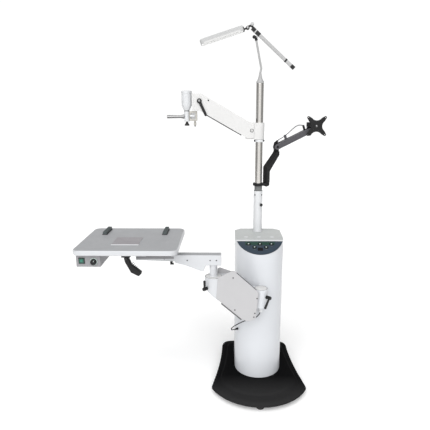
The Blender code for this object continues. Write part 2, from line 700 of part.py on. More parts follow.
def build_lift_arm(stand, white, black, grey, cover):
    bracket = [
        (-0.1455, 0.500),
        (-0.1455, 0.648),
        (-0.1635, 0.648),
        (-0.1635, 0.5475),
        (-0.2180, 0.5475),
        (-0.2180, 0.520),
        (-0.175, 0.520),
    ]
    turn = (math.radians(90), 0, math.radians(90))
    flat("hub_bracket", [bracket], 0.016, (0, 0, 0), stand, white, turn, 0.001)
    swivel = pivot("lift_arm_swivel", HUB, stand)
    outline = tongue_outline((HUB.x, HUB.y), HUB_RADIUS, -0.075, 0.030)
    middle = (0, 0, (HUB_TOP + HUB_BOTTOM) / 2)
    flat("swing_hub", [outline], HUB_TOP - HUB_BOTTOM, middle, swivel, white, edge=0.0015)
    diagonal = Vector((math.cos(math.radians(-42)), math.sin(math.radians(-42)), 0))
    boss = Vector((HUB.x, HUB.y, 0.612)) + diagonal * (HUB_RADIUS + 0.0006)
    turn_at = pivot("hub_clamp_turn", boss, swivel)
    tip = Vector((0.018, -0.256, 0.558))
    lever_handle("hub_clamp_lever", boss + diagonal * 0.020, tip, boss, turn_at, black)

    lift = pivot("lift_arm_lift", LIFT_PIVOT, swivel)
    corners = [
        (-0.0154, 0.6480),
        (-0.1430, 0.7640),
        (-0.1600, 0.7640),
        (-0.2300, 0.7280),
        (-0.2380, 0.6120),
        (-0.0974, 0.4900),
        (-0.0658, 0.4826),
        (-0.0288, 0.4980),
    ]
    outline = rounded(corners, [0.006, 0.010, 0.010, 0.006, 0.006, 0.008, 0.012, 0.006])
    middle = LIFT_HALF_WIDTH - LIFT_PLATE / 2
    side_plate("lift_front_cover", [outline], HUB.y - middle, LIFT_PLATE, lift, cover, 0.0008)
    corners = [
        (-0.0154, 0.6140),
        (-0.1430, 0.7300),
        (-0.1600, 0.7300),
        (-0.2200, 0.7500),
        (-0.2330, 0.7450),
        (-0.2380, 0.6120),
        (-0.0974, 0.4900),
        (-0.0658, 0.4826),
        (-0.0288, 0.4980),
    ]
    outline = rounded(corners, [0.006, 0.010, 0.010, 0.006, 0.006, 0.006, 0.008, 0.012, 0.006])
    side_plate("lift_rear_cover", [outline], HUB.y + middle, LIFT_PLATE, lift, cover, 0.0008)
    slope = math.atan2(0.6120 - 0.4900, 0.2380 - 0.0974)
    bottom_centre = (-0.1535, HUB.y, 0.5370)
    bottom_size = (0.14, 2 * KNUCKLE_HALF_WIDTH, 0.008)
    box("lift_bottom_plate", bottom_size, bottom_centre, lift, grey, 0.001, (0, slope, 0))
    reach = Vector((-math.cos(LIFT_SLOPE), 0, math.sin(LIFT_SLOPE))) * LIFT_LENGTH

    level = pivot("knuckle_level", LIFT_PIVOT + reach, lift)
    shaft = (SHAFT_X, SHAFT_Y)
    plan = arc(shaft, KNUCKLE_HALF_WIDTH, 90, 270, 12)
    plan += [(-0.178, SHAFT_Y - KNUCKLE_HALF_WIDTH), (-0.178, SHAFT_Y + KNUCKLE_HALF_WIDTH)]
    depth = KNUCKLE_TOP - 0.600
    middle = (0, 0, KNUCKLE_TOP - depth / 2)
    knuckle = to_mesh(flat("table_knuckle", [plan], depth, middle, level, white, edge=0.0015))
    slant = box("knuckle_slant", (0.30, 0.2, 0.10), (-0.262, SHAFT_Y, 0.5625), level, white, 0, (0, slope, 0))
    cut(knuckle, slant)
    cut(knuckle, rod("knuckle_bore", SHAFT_RADIUS + GAP + 0.0002, 0.1, (*shaft, 0.715), level, white))
    diagonal = Vector((-math.cos(math.radians(45)), -math.sin(math.radians(45)), 0))
    boss = Vector((SHAFT_X, SHAFT_Y, 0.664)) + diagonal * (KNUCKLE_HALF_WIDTH + 0.0006)
    turn_at = pivot("knuckle_clamp_turn", boss, level)
    tip = Vector((-0.2985, -0.262, 0.716))
    lever_handle("knuckle_clamp_lever", boss + diagonal * 0.018, tip, boss, turn_at, black)
    return level


def build_table(level, white, grey, black, green, box_grey, strip):
    arm_swivel = pivot("table_arm_swivel", (SHAFT_X, SHAFT_Y, 0.75), level)
    corners = [
        (-0.2115, TABLE_ARM_TOP),
        (-0.4550, TABLE_ARM_TOP),
        (-0.4550, 0.8410),
        (-0.6600, 0.8410),
        (-0.6600, 0.8160),
        (-0.4550, 0.8080),
        (-0.4531, 0.8003),
        (-0.4032, 0.7880),
        (-0.3235, 0.7577),
        (-0.3067, 0.7525),
        (-0.2929, 0.7865),
        (-0.2115, 0.7865),
    ]
    arm = to_mesh(side_plate("table_arm", [corners], SHAFT_Y, 0.048, arm_swivel, white, 0.0015))
    cut(arm, rod("table_shaft", SHAFT_RADIUS, 0.137, (SHAFT_X, SHAFT_Y, 0.7350), arm_swivel, white), "UNION")

    slide = pivot("table_slide", (-0.56, SHAFT_Y, 0.865), arm_swivel)
    middle_x = sum(TABLE_X) / 2
    middle_y = sum(TABLE_Y) / 2
    carriage_bottom = TABLE_ARM_TOP + GAP
    height = TABLE_BOTTOM - GAP - carriage_bottom
    centre = (-0.535, SHAFT_Y, carriage_bottom + height / 2)
    box("table_carriage", (0.13, 0.10, height), centre, slide, black, 0.002)
    size = (TABLE_X[1] - TABLE_X[0], TABLE_Y[1] - TABLE_Y[0])
    half = Vector(size) / 2
    corners = [(-half.x, -half.y), (half.x, -half.y), (half.x, half.y), (-half.x, half.y)]
    thickness = TABLE_TOP - TABLE_BOTTOM
    centre = (middle_x, middle_y, TABLE_BOTTOM + thickness / 2)
    top = to_mesh(flat("table_top", [rounded(corners, 0.04, 5)], thickness, centre, slide, grey, edge=0.004))
    pad_centre = (PAD_X, PAD_Y, TABLE_TOP + PAD_RISE - PAD_DEPTH / 2)
    pad = box("table_pad", (PAD_SIZE[0], PAD_SIZE[1], PAD_DEPTH), pad_centre, slide, grey)
    cut(top, pad, "UNION")
    for side, x in (("left", -0.854), ("right", -0.524)):
        centre = (x, -0.035, TABLE_TOP + GAP + 0.008)
        box(f"rail_strip_{side}", (0.022, 0.115, 0.016), centre, slide, strip, 0.0015)
    box_size = (0.121, 0.185, 0.062)
    box_centre = (-0.866, -0.2675, TABLE_BOTTOM - GAP - box_size[2] / 2)
    box("control_box", box_size, box_centre, slide, box_grey, 0.002)
    front = box_centre[1] - box_size[1] / 2
    rocker = pivot("rocker_tilt", (-0.898, front - 0.001, 0.8595), slide)
    box("rocker_switch", (0.024, 0.0045, 0.024), (-0.898, front - 0.00345, 0.8595), rocker, green, 0.001)
    knob = pivot("dimmer_turn", (-0.8386, front, 0.855), slide)
    profile = [(0, 0.015), (0.0125, 0.015), (0.0140, 0.0135), (0.0148, 0.0005), (0, 0.0005)]
    turned("dimmer_knob", profile, (-0.8386, front, 0.855), knob, black, UPRIGHT, 20)
    lever_y = -0.29
    release = pivot("release_lever_turn", (-0.6913, lever_y, 0.8488), slide)
    tip = (-0.6290, 0.7700)
    top = (-0.6913, 0.8488)
    angle = math.degrees(math.atan2(tip[1] - top[1], tip[0] - top[0]))
    outline = arc(top, 0.0125, angle + 100, angle + 260, 7) + rounded(
        [
            (top[0] - 0.008, top[1] - 0.020),
            (top[0] + 0.020, tip[1] + 0.004),
            (tip[0] - 0.004, tip[1] - 0.016),
            (tip[0] + 0.016, tip[1] + 0.004),
            (top[0] + 0.026, top[1] - 0.034),
        ],
        [0, 0.008, 0.008, 0.008, 0.008],
    )
    side_plate("release_lever", [outline], lever_y, 0.026, release, black, 0.004)


def build_lead(stand, black):
    """The short lead from the column's side to the underside of the arm's bracket, and its gland."""
    outward = Vector((-0.115, -0.0608, 0)).normalized()
    place = Vector((0, COLUMN_ARC_Y, 0.345)) + outward * (COLUMN_RADIUS + GAP)
    place.z = 0.345
    turn = outward.to_track_quat("Z", "Y").to_euler()
    profile = [(0, 0.016), (0.0042, 0.016), (0.0055, 0.004), (0.0075, 0.003), (0.0075, 0), (0, 0)]
    turned("lead_gland", profile, place, stand, black, turn, 12)
    start = place + outward * 0.0172
    route = [
        start,
        start + outward * 0.012,
        (-0.1560, -0.0985, 0.352),
        (-0.1555, -0.1130, 0.368),
        (-0.1400, -0.1280, 0.390),
        (-0.1150, -0.1450, 0.415),
        (-0.0850, -0.1630, 0.440),
        (-0.0500, -0.1800, 0.464),
        (-0.0280, -0.1870, 0.472),
        (-0.0100, -0.1910, 0.490),
        (-0.0025, -0.1925, 0.507),
        (-0.0010, -0.1930, 0.5193),
    ]
    tube("lift_lead", smooth_route(route, 4), 0.0026, stand, black)


def main():
    clear_scene()
    bpy.context.scene.collection.children.link(PARTS)
    bpy.context.scene.collection.children.link(CUTTERS)
    stand = pivot("stand_origin", (0, 0, 0))
    white = look("white_enamel", (0.80, 0.81, 0.82), 0.35)
    cover = look("cover_enamel", (0.62, 0.61, 0.62), 0.42)
    grey = look("grey_top", (0.36, 0.37, 0.37), 0.5)
    black_gloss = look("base_black", (0.010, 0.010, 0.011), 0.25)
    black = look("black_plastic", (0.018, 0.018, 0.019), 0.45)
    rubber = look("foot_rubber", (0.02, 0.02, 0.02), 0.8)
    slate = look("keypad_slate", (0.045, 0.065, 0.085), 0.35)
    keys = look("key_black", (0.03, 0.03, 0.035), 0.4)
    steel = look("brushed_steel", (0.55, 0.54, 0.52), 0.3, 1.0)
    chrome = look("chrome", (0.7, 0.7, 0.7), 0.15, 1.0)
    alloy = look("lamp_grey", (0.50, 0.50, 0.50), 0.4, 0.3)
    beige = look("clamp_beige", (0.45, 0.43, 0.38), 0.5)
    dark = look("arm_dark_grey", (0.085, 0.085, 0.09), 0.45)
    green = look("rocker_green", (0.02, 0.18, 0.10), 0.3)
    box_grey = look("control_grey", (0.60, 0.60, 0.61), 0.45)
    strip = look("strip_grey", (0.13, 0.15, 0.15), 0.5)

    build_base(stand, black_gloss, rubber)
    build_column(stand, white, grey, slate, keys)
    build_pole(stand, white, steel, alloy, black)
    build_phoropter_arm(stand, white, dark, black, chrome, beige)
    build_lamp(stand, alloy, white)
    build_monitor_arm(stand, black, dark)
    level = build_lift_arm(stand, white, black, grey, cover)
    build_table(level, white, grey, black, green, box_grey, strip)
    build_lead(stand, black)
    stand.location = (STAND_X, STAND_Y, 0)


main()
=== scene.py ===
"""The looks of the refraction stand: finishes, detail pieces, cords, floor, light and camera."""

import json
import math

import bmesh
import bpy
from mathutils import Matrix, Vector


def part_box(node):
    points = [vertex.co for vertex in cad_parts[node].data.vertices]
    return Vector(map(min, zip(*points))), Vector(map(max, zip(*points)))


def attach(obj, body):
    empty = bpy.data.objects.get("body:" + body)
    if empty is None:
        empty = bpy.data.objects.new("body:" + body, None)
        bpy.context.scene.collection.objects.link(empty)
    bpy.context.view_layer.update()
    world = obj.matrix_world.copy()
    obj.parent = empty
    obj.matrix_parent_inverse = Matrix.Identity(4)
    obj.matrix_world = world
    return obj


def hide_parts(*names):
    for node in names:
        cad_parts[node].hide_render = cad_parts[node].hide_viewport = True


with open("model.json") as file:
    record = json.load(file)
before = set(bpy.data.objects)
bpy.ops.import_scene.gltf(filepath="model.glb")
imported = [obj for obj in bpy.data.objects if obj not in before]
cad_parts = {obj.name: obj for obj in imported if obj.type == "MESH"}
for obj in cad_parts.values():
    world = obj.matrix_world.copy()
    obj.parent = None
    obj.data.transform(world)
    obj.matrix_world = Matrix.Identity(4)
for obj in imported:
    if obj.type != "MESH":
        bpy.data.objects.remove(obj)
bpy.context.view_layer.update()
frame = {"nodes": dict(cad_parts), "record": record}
NODES = frame["nodes"]

# The stand's own frame: X right, Y back and Z up from the floor, with the pole behind its origin.
POLE_SETBACK = 0.14
POLE_LOW, POLE_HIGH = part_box("steel_pole")
STAND = Vector(((POLE_LOW.x + POLE_HIGH.x) / 2, (POLE_LOW.y + POLE_HIGH.y) / 2 - POLE_SETBACK, 0))
SOCKET_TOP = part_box("pole_socket")[1].z
CAP_TOP = 0.876
KEYPAD_SLOPE = math.radians(27.3)
KEYPAD_TOP = Vector((0, -0.0515, 0.8663))  # the middle of its upper edge
KEYPAD_FACE = 0.002  # the keypad's face above its middle plane
KEY_FACE = 0.00285  # a key's face above the keypad's
LABEL_BELOW_KEY = 0.0150
KEYS = [(-0.063, 0.022), (0.0, 0.022), (0.063, 0.022), (-0.031, 0.047), (0.033, 0.047)]  # across, down

ARM_FRONT = 0.1075  # the outer faces of the phoropter arm's covers
ARM_REAR = 0.1725
ARM_PIVOT = (-0.0440, ARM_FRONT, 1.4665)
HEAD_PIVOT_X = -0.3364
HEAD_PIVOT_Z = 1.629
BARREL_X = -0.4096
ROD_HEIGHT = 1.544
THUMB_SCREW_SEAT = (-0.3640, POLE_SETBACK, 1.5205)
THUMB_TIP_FROM = 0.0255  # how far below its seat the thumb screw turns dark

LAMP_ELBOW = Vector((-0.026, POLE_SETBACK, 1.957))
LAMP_HINGE = Vector((-0.072, POLE_SETBACK, 2.008))
LAMP_ARM_TURN = math.radians(42)
LAMP_ARM_LENGTH = 0.305
LAMP_HEAD_TURN = math.radians(-17)

MONITOR_POST = Vector((0.046, POLE_SETBACK, 1.166))
MONITOR_ELBOW = Vector((0.108, 0.22, 1.367))
MONITOR_WRIST = Vector((0.316, 0.33, 1.455))
VESA_FACE = Vector((0.353, 0.2887, 1.4836))
VESA_HALF_PITCH = 0.05
CABLE_START = MONITOR_ELBOW + Vector((0.004, 0.002, 0.0358))
CABLE_END = MONITOR_WRIST + Vector((-0.0333, -0.0161, 0.030))

LIFT_Y = -0.2  # the middle plane of the lift arm and the table arm
LIFT_FRONT = -0.2500  # the outer faces of the lift arm's covers
LIFT_REAR = -0.1500
HUB_TOP = 0.6521
KNUCKLE_X = -0.2537
KNUCKLE_TOP = 0.7200

TABLE_TOP = 0.915
RAIL_Y = -0.035
RAIL_TEETH = 9
TOOTH_PITCH = 0.012
CONTROL_FRONT = -0.3600
DIMMER_RIBS = 18
DIMMER_POINTS = math.radians(33)  # the way its pointer looks, from straight up to the right
LEVER_PIVOT = Vector((-0.6913, -0.29, 0.8488))
LEVER_TIP = Vector((-0.6290, -0.29, 0.7700))
LEVER_GRIPS = 5
GRIPS_START = 0.040
GRIP_PITCH = 0.0095

FORWARD = Vector((0, -1, 0))
LEFTWARD = Vector((-1, 0, 0))
UP = Vector((0, 0, 1))
SIDES = (("left", -1), ("right", 1))
FACES = (("front", 1), ("rear", -1))  # each with its sign along FORWARD
FACE_ON = Matrix.Rotation(math.radians(90), 4, "X")  # a slab's own X and Y become the world's X and Z


def spot(x, y, z):
    """A place given in the stand's own frame."""
    return STAND + Vector((x, y, z))


def on_pole(z):
    """A place on the pole's centre line."""
    return spot(0, POLE_SETBACK, z)


def pitched(angle):
    """A turn about the Y axis, which tips a piece's right end down."""
    return Matrix.Rotation(angle, 4, "Y")


def face_on(at, angle=0.0):
    """The place of a slab that faces forward, turned by an angle in its own plane."""
    return Matrix.Translation(at) @ pitched(angle) @ FACE_ON


# ---------------------------------------------------------------- finishes

PATCH_SCALE = 9.0
SMUDGE_SCALE = PATCH_SCALE * 6
GRAIN_SHARE = 0.4  # how much of the colour's change comes from the fine grain
GRAIN_RELIEF = 0.12
COAT_ROUGHNESS = 0.12
SHEEN_FROM = -0.26  # the base's front is wholly the painted sheen's paler colour up to here
SHEEN_TO = -0.12  # and wholly its own colour from here back


def principled(name):
    material = bpy.data.materials.new(name)
    material.use_nodes = True
    nodes = material.node_tree.nodes
    return material, nodes, material.node_tree.links, nodes["Principled BSDF"]


def coordinates(nodes, links, stretch=(1, 1, 1)):
    place = nodes.new("ShaderNodeTexCoord")
    mapping = nodes.new("ShaderNodeMapping")
    mapping.inputs["Scale"].default_value = stretch
    links.new(place.outputs["Object"], mapping.inputs["Vector"])
    return mapping.outputs["Vector"]


def noise(nodes, links, vector, scale, detail=4.0, rough=0.55):
    texture = nodes.new("ShaderNodeTexNoise")
    texture.inputs["Scale"].default_value = scale
    texture.inputs["Detail"].default_value = detail
    texture.inputs["Roughness"].default_value = rough
    links.new(vector, texture.inputs["Vector"])
    return texture.outputs["Fac"]


def spread(nodes, links, value, low, high, start=0.3, end=0.7):
    """Maps the range from start to end onto the range from low to high."""
    change = nodes.new("ShaderNodeMapRange")
    change.inputs["From Min"].default_value = start
    change.inputs["From Max"].default_value = end
    change.inputs["To Min"].default_value = low
    change.inputs["To Max"].default_value = high
    links.new(value, change.inputs["Value"])
    return change.outputs["Result"]


def colour_mix(nodes):
    mix = nodes.new("ShaderNodeMix")
    mix.data_type = "RGBA"
    return mix


def tint(nodes, links, value, first, second):
    """Two colours mixed by a value."""
    mix = colour_mix(nodes)
    mix.inputs["A"].default_value = (*first, 1)
    mix.inputs["B"].default_value = (*second, 1)
    links.new(value, mix.inputs["Factor"])
    return mix.outputs["Result"]


def axis_of(nodes, links, vector, axis):
    parts = nodes.new("ShaderNodeSeparateXYZ")
    links.new(vector, parts.inputs["Vector"])
    return parts.outputs[axis]


def painted_front_sheen(nodes, links, surface, colour):
    """Fades a surface to a paler colour towards the front of the stand: a painted sheen."""
    place = nodes.new("ShaderNodeNewGeometry")
    depth = axis_of(nodes, links, place.outputs["Position"], "Y")
    mix = colour_mix(nodes)
    mix.inputs["B"].default_value = (*colour, 1)
    links.new(surface, mix.inputs["A"])
    share = spread(nodes, links, depth, 1.0, 0.0, STAND.y + SHEEN_FROM, STAND.y + SHEEN_TO)
    links.new(share, mix.inputs["Factor"])
    return mix.outputs["Result"]


def combine(nodes, links, operation, first, second):
    """One value added to another, or multiplied by it."""
    node = nodes.new("ShaderNodeMath")
    node.operation = operation
    links.new(first, node.inputs[0])
    links.new(second, node.inputs[1])
    return node.outputs["Value"]


def finish(name, colour, worn, rough, grain, relief, metallic=0.0, coat=0.0, specular=0.5,
           stretch=(1, 1, 1), front=None):
    """A surface with patchy colour and gloss, smudges and a fine grain, and a painted sheen on its front if a
    front colour is named.
    """
    material, nodes, links, shader = principled(name)
    vector = coordinates(nodes, links, stretch)
    even = coordinates(nodes, links)
    broad = noise(nodes, links, vector, PATCH_SCALE, 5.0)
    smudge = noise(nodes, links, even, SMUDGE_SCALE, 6.0, 0.65)
    fine = noise(nodes, links, vector, grain, 3.0)
    patches = tint(nodes, links, spread(nodes, links, broad, 0.0, 1.0, 0.35, 0.68), colour, worn)
    specks = tint(nodes, links, spread(nodes, links, fine, 0.0, 1.0, 0.25, 0.75), colour, worn)
    blend = colour_mix(nodes)
    blend.inputs["Factor"].default_value = GRAIN_SHARE
    links.new(patches, blend.inputs["A"])
    links.new(specks, blend.inputs["B"])
    surface = blend.outputs["Result"]
    # front is the paler colour of a painted sheen on the stand's front
    if front:
        surface = painted_front_sheen(nodes, links, surface, front)
    links.new(surface, shader.inputs["Base Color"])
    base_gloss = spread(nodes, links, broad, rough[0], rough[1])
    smudge_gloss = spread(nodes, links, smudge, -0.04, 0.06)
    links.new(combine(nodes, links, "ADD", base_gloss, smudge_gloss), shader.inputs["Roughness"])
    bump = nodes.new("ShaderNodeBump")
    bump.inputs["Strength"].default_value = GRAIN_RELIEF
    bump.inputs["Distance"].default_value = relief
    links.new(fine, bump.inputs["Height"])
    links.new(bump.outputs["Normal"], shader.inputs["Normal"])
    shader.inputs["Metallic"].default_value = metallic
    shader.inputs["Specular IOR Level"].default_value = specular
    shader.inputs["Coat Weight"].default_value = coat
    shader.inputs["Coat Roughness"].default_value = COAT_ROUGHNESS
    return material


WHITE = finish(
    "white_enamel", (0.60, 0.61, 0.622), (0.58, 0.59, 0.602), (0.30, 0.40), 420, 0.0003, coat=0.3
)
ARM_WHITE = finish(
    "arm_enamel", (0.60, 0.597, 0.592), (0.58, 0.577, 0.572), (0.34, 0.44), 420, 0.0003, coat=0.15
)
TABLE_WHITE = finish(
    "table_enamel", (0.53, 0.54, 0.558), (0.51, 0.52, 0.538), (0.30, 0.40), 420, 0.0003, coat=0.3
)
COLUMN = finish(
    "column_enamel", (0.57, 0.585, 0.61), (0.55, 0.565, 0.59), (0.30, 0.40), 380, 0.0003, coat=0.3
)
COVER = finish(
    "cover_enamel", (0.425, 0.422, 0.43), (0.405, 0.402, 0.41), (0.40, 0.52), 450, 0.0004, coat=0.1
)
GREY_TOP = finish("grey_top", (0.345, 0.35, 0.362), (0.325, 0.33, 0.342), (0.45, 0.56), 700, 0.0006)
CAP_GREY = finish(
    "cap_grey", (0.435, 0.451, 0.445), (0.415, 0.431, 0.425), (0.35, 0.45), 600, 0.0004, coat=0.15
)
# The base's paler front colour is a painted sheen.
BASE_BLACK = finish(
    "base_black", (0.0025, 0.0025, 0.0028), (0.004, 0.004, 0.0045),
    (0.55, 0.65), 500, 0.0004, specular=0.02, front=(0.021, 0.021, 0.0215),
)
BLACK = finish(
    "black_plastic", (0.006, 0.006, 0.0065), (0.011, 0.011, 0.0115),
    (0.36, 0.5), 900, 0.0005, specular=0.3,
)
RUBBER = finish("foot_rubber", (0.012, 0.012, 0.012), (0.025, 0.025, 0.025), (0.7, 0.85), 800, 0.0006)
SLATE = finish("keypad_slate", (0.020, 0.034, 0.052), (0.024, 0.039, 0.058), (0.30, 0.4), 900, 0.0002)
KEY = finish(
    "key_black", (0.003, 0.006, 0.007), (0.005, 0.009, 0.010), (0.30, 0.4), 900, 0.0002, specular=0.2
)
STEEL_STREAKS = (9, 9, 0.2)
STEEL = finish(
    "brushed_steel", (0.72, 0.70, 0.67), (0.69, 0.67, 0.64),
    (0.12, 0.18), 300, 0.00003, 1.0, stretch=STEEL_STREAKS,
)
CHROME = finish("chrome", (0.28, 0.28, 0.28), (0.24, 0.24, 0.24), (0.16, 0.24), 300, 0.0001, 1.0)
LAMP_GREY = finish(
    "lamp_grey", (0.40, 0.40, 0.40), (0.36, 0.36, 0.36), (0.5, 0.6), 400, 0.0001, 0.1, specular=0.2
)
LAMP_WHITE = finish(
    "lamp_white", (0.46, 0.462, 0.462), (0.44, 0.442, 0.442), (0.6, 0.7), 500, 0.0001, specular=0.1
)
BEIGE = finish("clamp_beige", (0.47, 0.455, 0.42), (0.42, 0.405, 0.37), (0.42, 0.55), 500, 0.0004, 0.3)
DARK_GREY = finish(
    "arm_dark_grey", (0.085, 0.083, 0.092), (0.070, 0.068, 0.076), (0.36, 0.48), 600, 0.0004
)
ARM_BLACK = finish(
    "arm_black", (0.004, 0.004, 0.0045), (0.007, 0.007, 0.0075),
    (0.34, 0.48), 600, 0.0004, specular=0.28,
)
GREEN = finish(
    "rocker_green", (0.008, 0.070, 0.048), (0.010, 0.085, 0.058), (0.18, 0.28), 500, 0.0002, coat=0.4
)
CONTROL = finish("control_grey", (0.258, 0.253, 0.265), (0.245, 0.240, 0.252), (0.42, 0.52), 600, 0.0004)
STRIP = finish("strip_grey", (0.052, 0.066, 0.067), (0.070, 0.083, 0.084), (0.45, 0.6), 600, 0.0005)
DIFFUSER = finish(
    "lamp_diffuser", (0.57, 0.57, 0.565), (0.55, 0.55, 0.545), (0.6, 0.7), 700, 0.0001, specular=0.1
)
# The diffuser under the shade, coloured brighter than the same diffuser on the front: painted light against
# the shade below the lamp.
LENS_PAINTED_LIGHT = finish("lamp_lens_painted_light", (0.80, 0.80, 0.79), (0.78, 0.78, 0.77), (0.6, 0.7), 700, 0.0001, specular=0.1)
LINING = finish("arm_lining", (0.16, 0.165, 0.165), (0.12, 0.125, 0.125), (0.5, 0.65), 400, 0.0004)
SHADOW_GREY = finish(
    "fastener_dark", (0.045, 0.045, 0.047), (0.03, 0.03, 0.032), (0.3, 0.45), 600, 0.0003, 0.6
)
KEYPAD_GREEN = finish(
    "keypad_green", (0.006, 0.034, 0.024), (0.009, 0.044, 0.030), (0.30, 0.4), 900, 0.0002
)
PRINT_WHITE = finish("print_white", (0.46, 0.54, 0.51), (0.42, 0.50, 0.47), (0.4, 0.5), 900, 0.0001)
PAD_GREY = finish("slide_pad_grey", (0.30, 0.285, 0.30), (0.27, 0.255, 0.27), (0.45, 0.56), 700, 0.0004)
ROCKER_LIT = finish(
    "rocker_lens_green", (0.02, 0.16, 0.11), (0.03, 0.19, 0.13), (0.15, 0.25), 500, 0.0001, coat=0.4
)
DISPLAY = finish(
    "display_window", (0.003, 0.003, 0.004), (0.006, 0.004, 0.006),
    (0.30, 0.36), 500, 0.0001, specular=0.25,
)

FINISHES = {
    "white_enamel": WHITE,
    "white_alloy": WHITE,
    "cover_enamel": COVER,
    "grey_top": GREY_TOP,
    "base_black": BASE_BLACK,
    "black_plastic": BLACK,
    "foot_rubber": RUBBER,
    "keypad_slate": SLATE,
    "key_black": KEY,
    "brushed_steel": STEEL,
    "chrome": CHROME,
    "lamp_grey": LAMP_GREY,
    "lamp_white": LAMP_WHITE,
    "clamp_beige": BEIGE,
    "arm_dark_grey": DARK_GREY,
    "arm_black": ARM_BLACK,
    "rocker_green": GREEN,
    "control_grey": CONTROL,
    "strip_grey": STRIP,
}
OWN_FINISHES = {
    COLUMN: ("column_shell", "column_rear_cover", "swing_hub"),
    ARM_WHITE: ("arm_hub", "arm_front_cover", "arm_rear_cover", "arm_head_block"),
    CAP_GREY: ("column_top_cap",),
    TABLE_WHITE: ("table_top", "table_knuckle", "table_arm"),
}

SAME_POINT = 0.00001
EASED_WIDTH = 0.0005
EASED_OVER = math.radians(38)
SMOOTH_WITHIN = math.radians(35)
BEVELLED_OVER = math.radians(40)


def dress_cad_nodes():
    """Gives each CAD node its finish, joins its facets and eases its hard edges."""
    for part in frame["record"]["subparts"]:
        node = NODES[part["node"]]
        node.data.materials.clear()
        node.data.materials.append(FINISHES[part["material_slot"]])
        node.data.polygons.foreach_set("use_smooth", [True] * len(node.data.polygons))
        weld = node.modifiers.new("weld", "WELD")
        weld.merge_threshold = SAME_POINT
        ease = node.modifiers.new("ease", "BEVEL")
        ease.width = EASED_WIDTH
        ease.segments = 2
        ease.limit_method = "ANGLE"
        ease.angle_limit = EASED_OVER
        node.modifiers.new("even", "WEIGHTED_NORMAL")
    for material, names in OWN_FINISHES.items():
        for name in names:
            NODES[name].data.materials[0] = material


# ---------------------------------------------------------------- piece builders

NO_TURN = Matrix.Identity(4)
AXIS_RADIUS = 1e-6  # a turned profile's point nearer the axis than this is on it


def facing(direction):
    """The turn that brings a piece's own Z onto a direction."""
    return Vector(direction).to_track_quat("Z", "Y").to_matrix().to_4x4()


def join_in(piece, body, material):
    """Gives a new piece its finish and sets it riding on its body."""
    piece.data.materials.append(material)
    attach(piece, body)
    return piece


def settle(name, mesh, body, material, place):
    """Makes a riding piece from a bmesh, smooth across the shallower edges."""
    bmesh.ops.recalc_face_normals(mesh, faces=mesh.faces)
    for face in mesh.faces:
        face.smooth = True
    for edge in mesh.edges:
        edge.smooth = len(edge.link_faces) == 2 and edge.calc_face_angle() < SMOOTH_WITHIN
    data = bpy.data.meshes.new(name)
    mesh.to_mesh(data)
    mesh.free()
    piece = bpy.data.objects.new(name, data)
    bpy.context.scene.collection.objects.link(piece)
    piece.matrix_world = place
    return join_in(piece, body, material)


def lathe(name, profile, at, direction, body, material, steps=32):
    """A turned piece: profile is (radius, height) pairs along the direction."""
    mesh = bmesh.new()
    circles = []
    for radius, height in profile:
        if radius < AXIS_RADIUS:
            circles.append([mesh.verts.new((0, 0, height))])
            continue
        circle = []
        for step in range(steps):
            angle = 2 * math.pi * step / steps
            circle.append(mesh.verts.new((radius * math.cos(angle), radius * math.sin(angle), height)))
        circles.append(circle)
    for lower, upper in zip(circles, circles[1:]):
        for step in range(steps):
            after = (step + 1) % steps
            corners = [lower[step % len(lower)], lower[after % len(lower)]]
            corners += [upper[after % len(upper)], upper[step % len(upper)]]
            unique = list(dict.fromkeys(corners))
            if len(unique) > 2:
                mesh.faces.new(unique)
    return settle(name, mesh, body, material, Matrix.Translation(at) @ facing(direction))


def ring(name, inner, outer, low, high, at, direction, body, material, edge=0.0006):
    """A turned washer from one height to another, its outer edges eased."""
    profile = [(inner, low), (outer - edge, low), (outer, low + edge), (outer, high - edge)]
    profile += [(outer - edge, high), (inner, high), (inner, low)]
    return lathe(name, profile, at, direction, body, material)


def slab(name, outline, depth, place, body, material, edge=0.0006):
    """A flat plate of the given outline, half its depth each side of the place's own plane."""
    mesh = bmesh.new()
    low = [mesh.verts.new((u, v, -depth / 2)) for u, v in outline]
    high = [mesh.verts.new((u, v, depth / 2)) for u, v in outline]
    mesh.faces.new(low)
    mesh.faces.new(high)
    for index, corner in enumerate(low):
        after = (index + 1) % len(low)
        mesh.faces.new([corner, low[after], high[after], high[index]])
    if edge:
        hard = [side for side in mesh.edges if side.calc_face_angle(0) > BEVELLED_OVER]
        bmesh.ops.bevel(mesh, geom=hard, offset=edge, segments=2, profile=0.5, affect="EDGES")
    return settle(name, mesh, body, material, place)


def block(name, size, at, body, material, edge=0.0008, turn=NO_TURN):
    """A box of the given size, turned about its middle."""
    return slab(name, rectangle(*size[:2]), size[2], Matrix.Translation(at) @ turn, body, material, edge)


def round_corners(outline, radius, steps=4):
    """Rounds every corner of a convex outline."""
    result = []
    count = len(outline)
    for index in range(count):
        before = Vector(outline[index - 1])
        corner = Vector(outline[index])
        after = Vector(outline[(index + 1) % count])
        first = (before - corner).normalized() * radius + corner
        last = (after - corner).normalized() * radius + corner
        for step in range(steps + 1):
            share = step / steps
            one = first.lerp(corner, share)
            two = corner.lerp(last, share)
            result.append(tuple(one.lerp(two, share)))
    return result


def rectangle(width, height, radius=0.0):
    x = width / 2
    y = height / 2
    corners = [(-x, -y), (x, -y), (x, y), (-x, y)]
    return round_corners(corners, radius) if radius else corners


def pipe(name, points, radius, body, material):
    """A round bar or cord along a route, as a curve of one open spline."""
    data = bpy.data.curves.new(name, "CURVE")
    data.dimensions = "3D"
    data.bevel_depth = radius
    data.bevel_resolution = 4
    data.use_fill_caps = True
    line = data.splines.new("POLY")
    line.points.add(len(points) - 1)
    for point, place in zip(line.points, points):
        point.co = (*place, 1)
    line.use_smooth = True
    piece = bpy.data.objects.new(name, data)
    bpy.context.scene.collection.objects.link(piece)
    return join_in(piece, body, material)


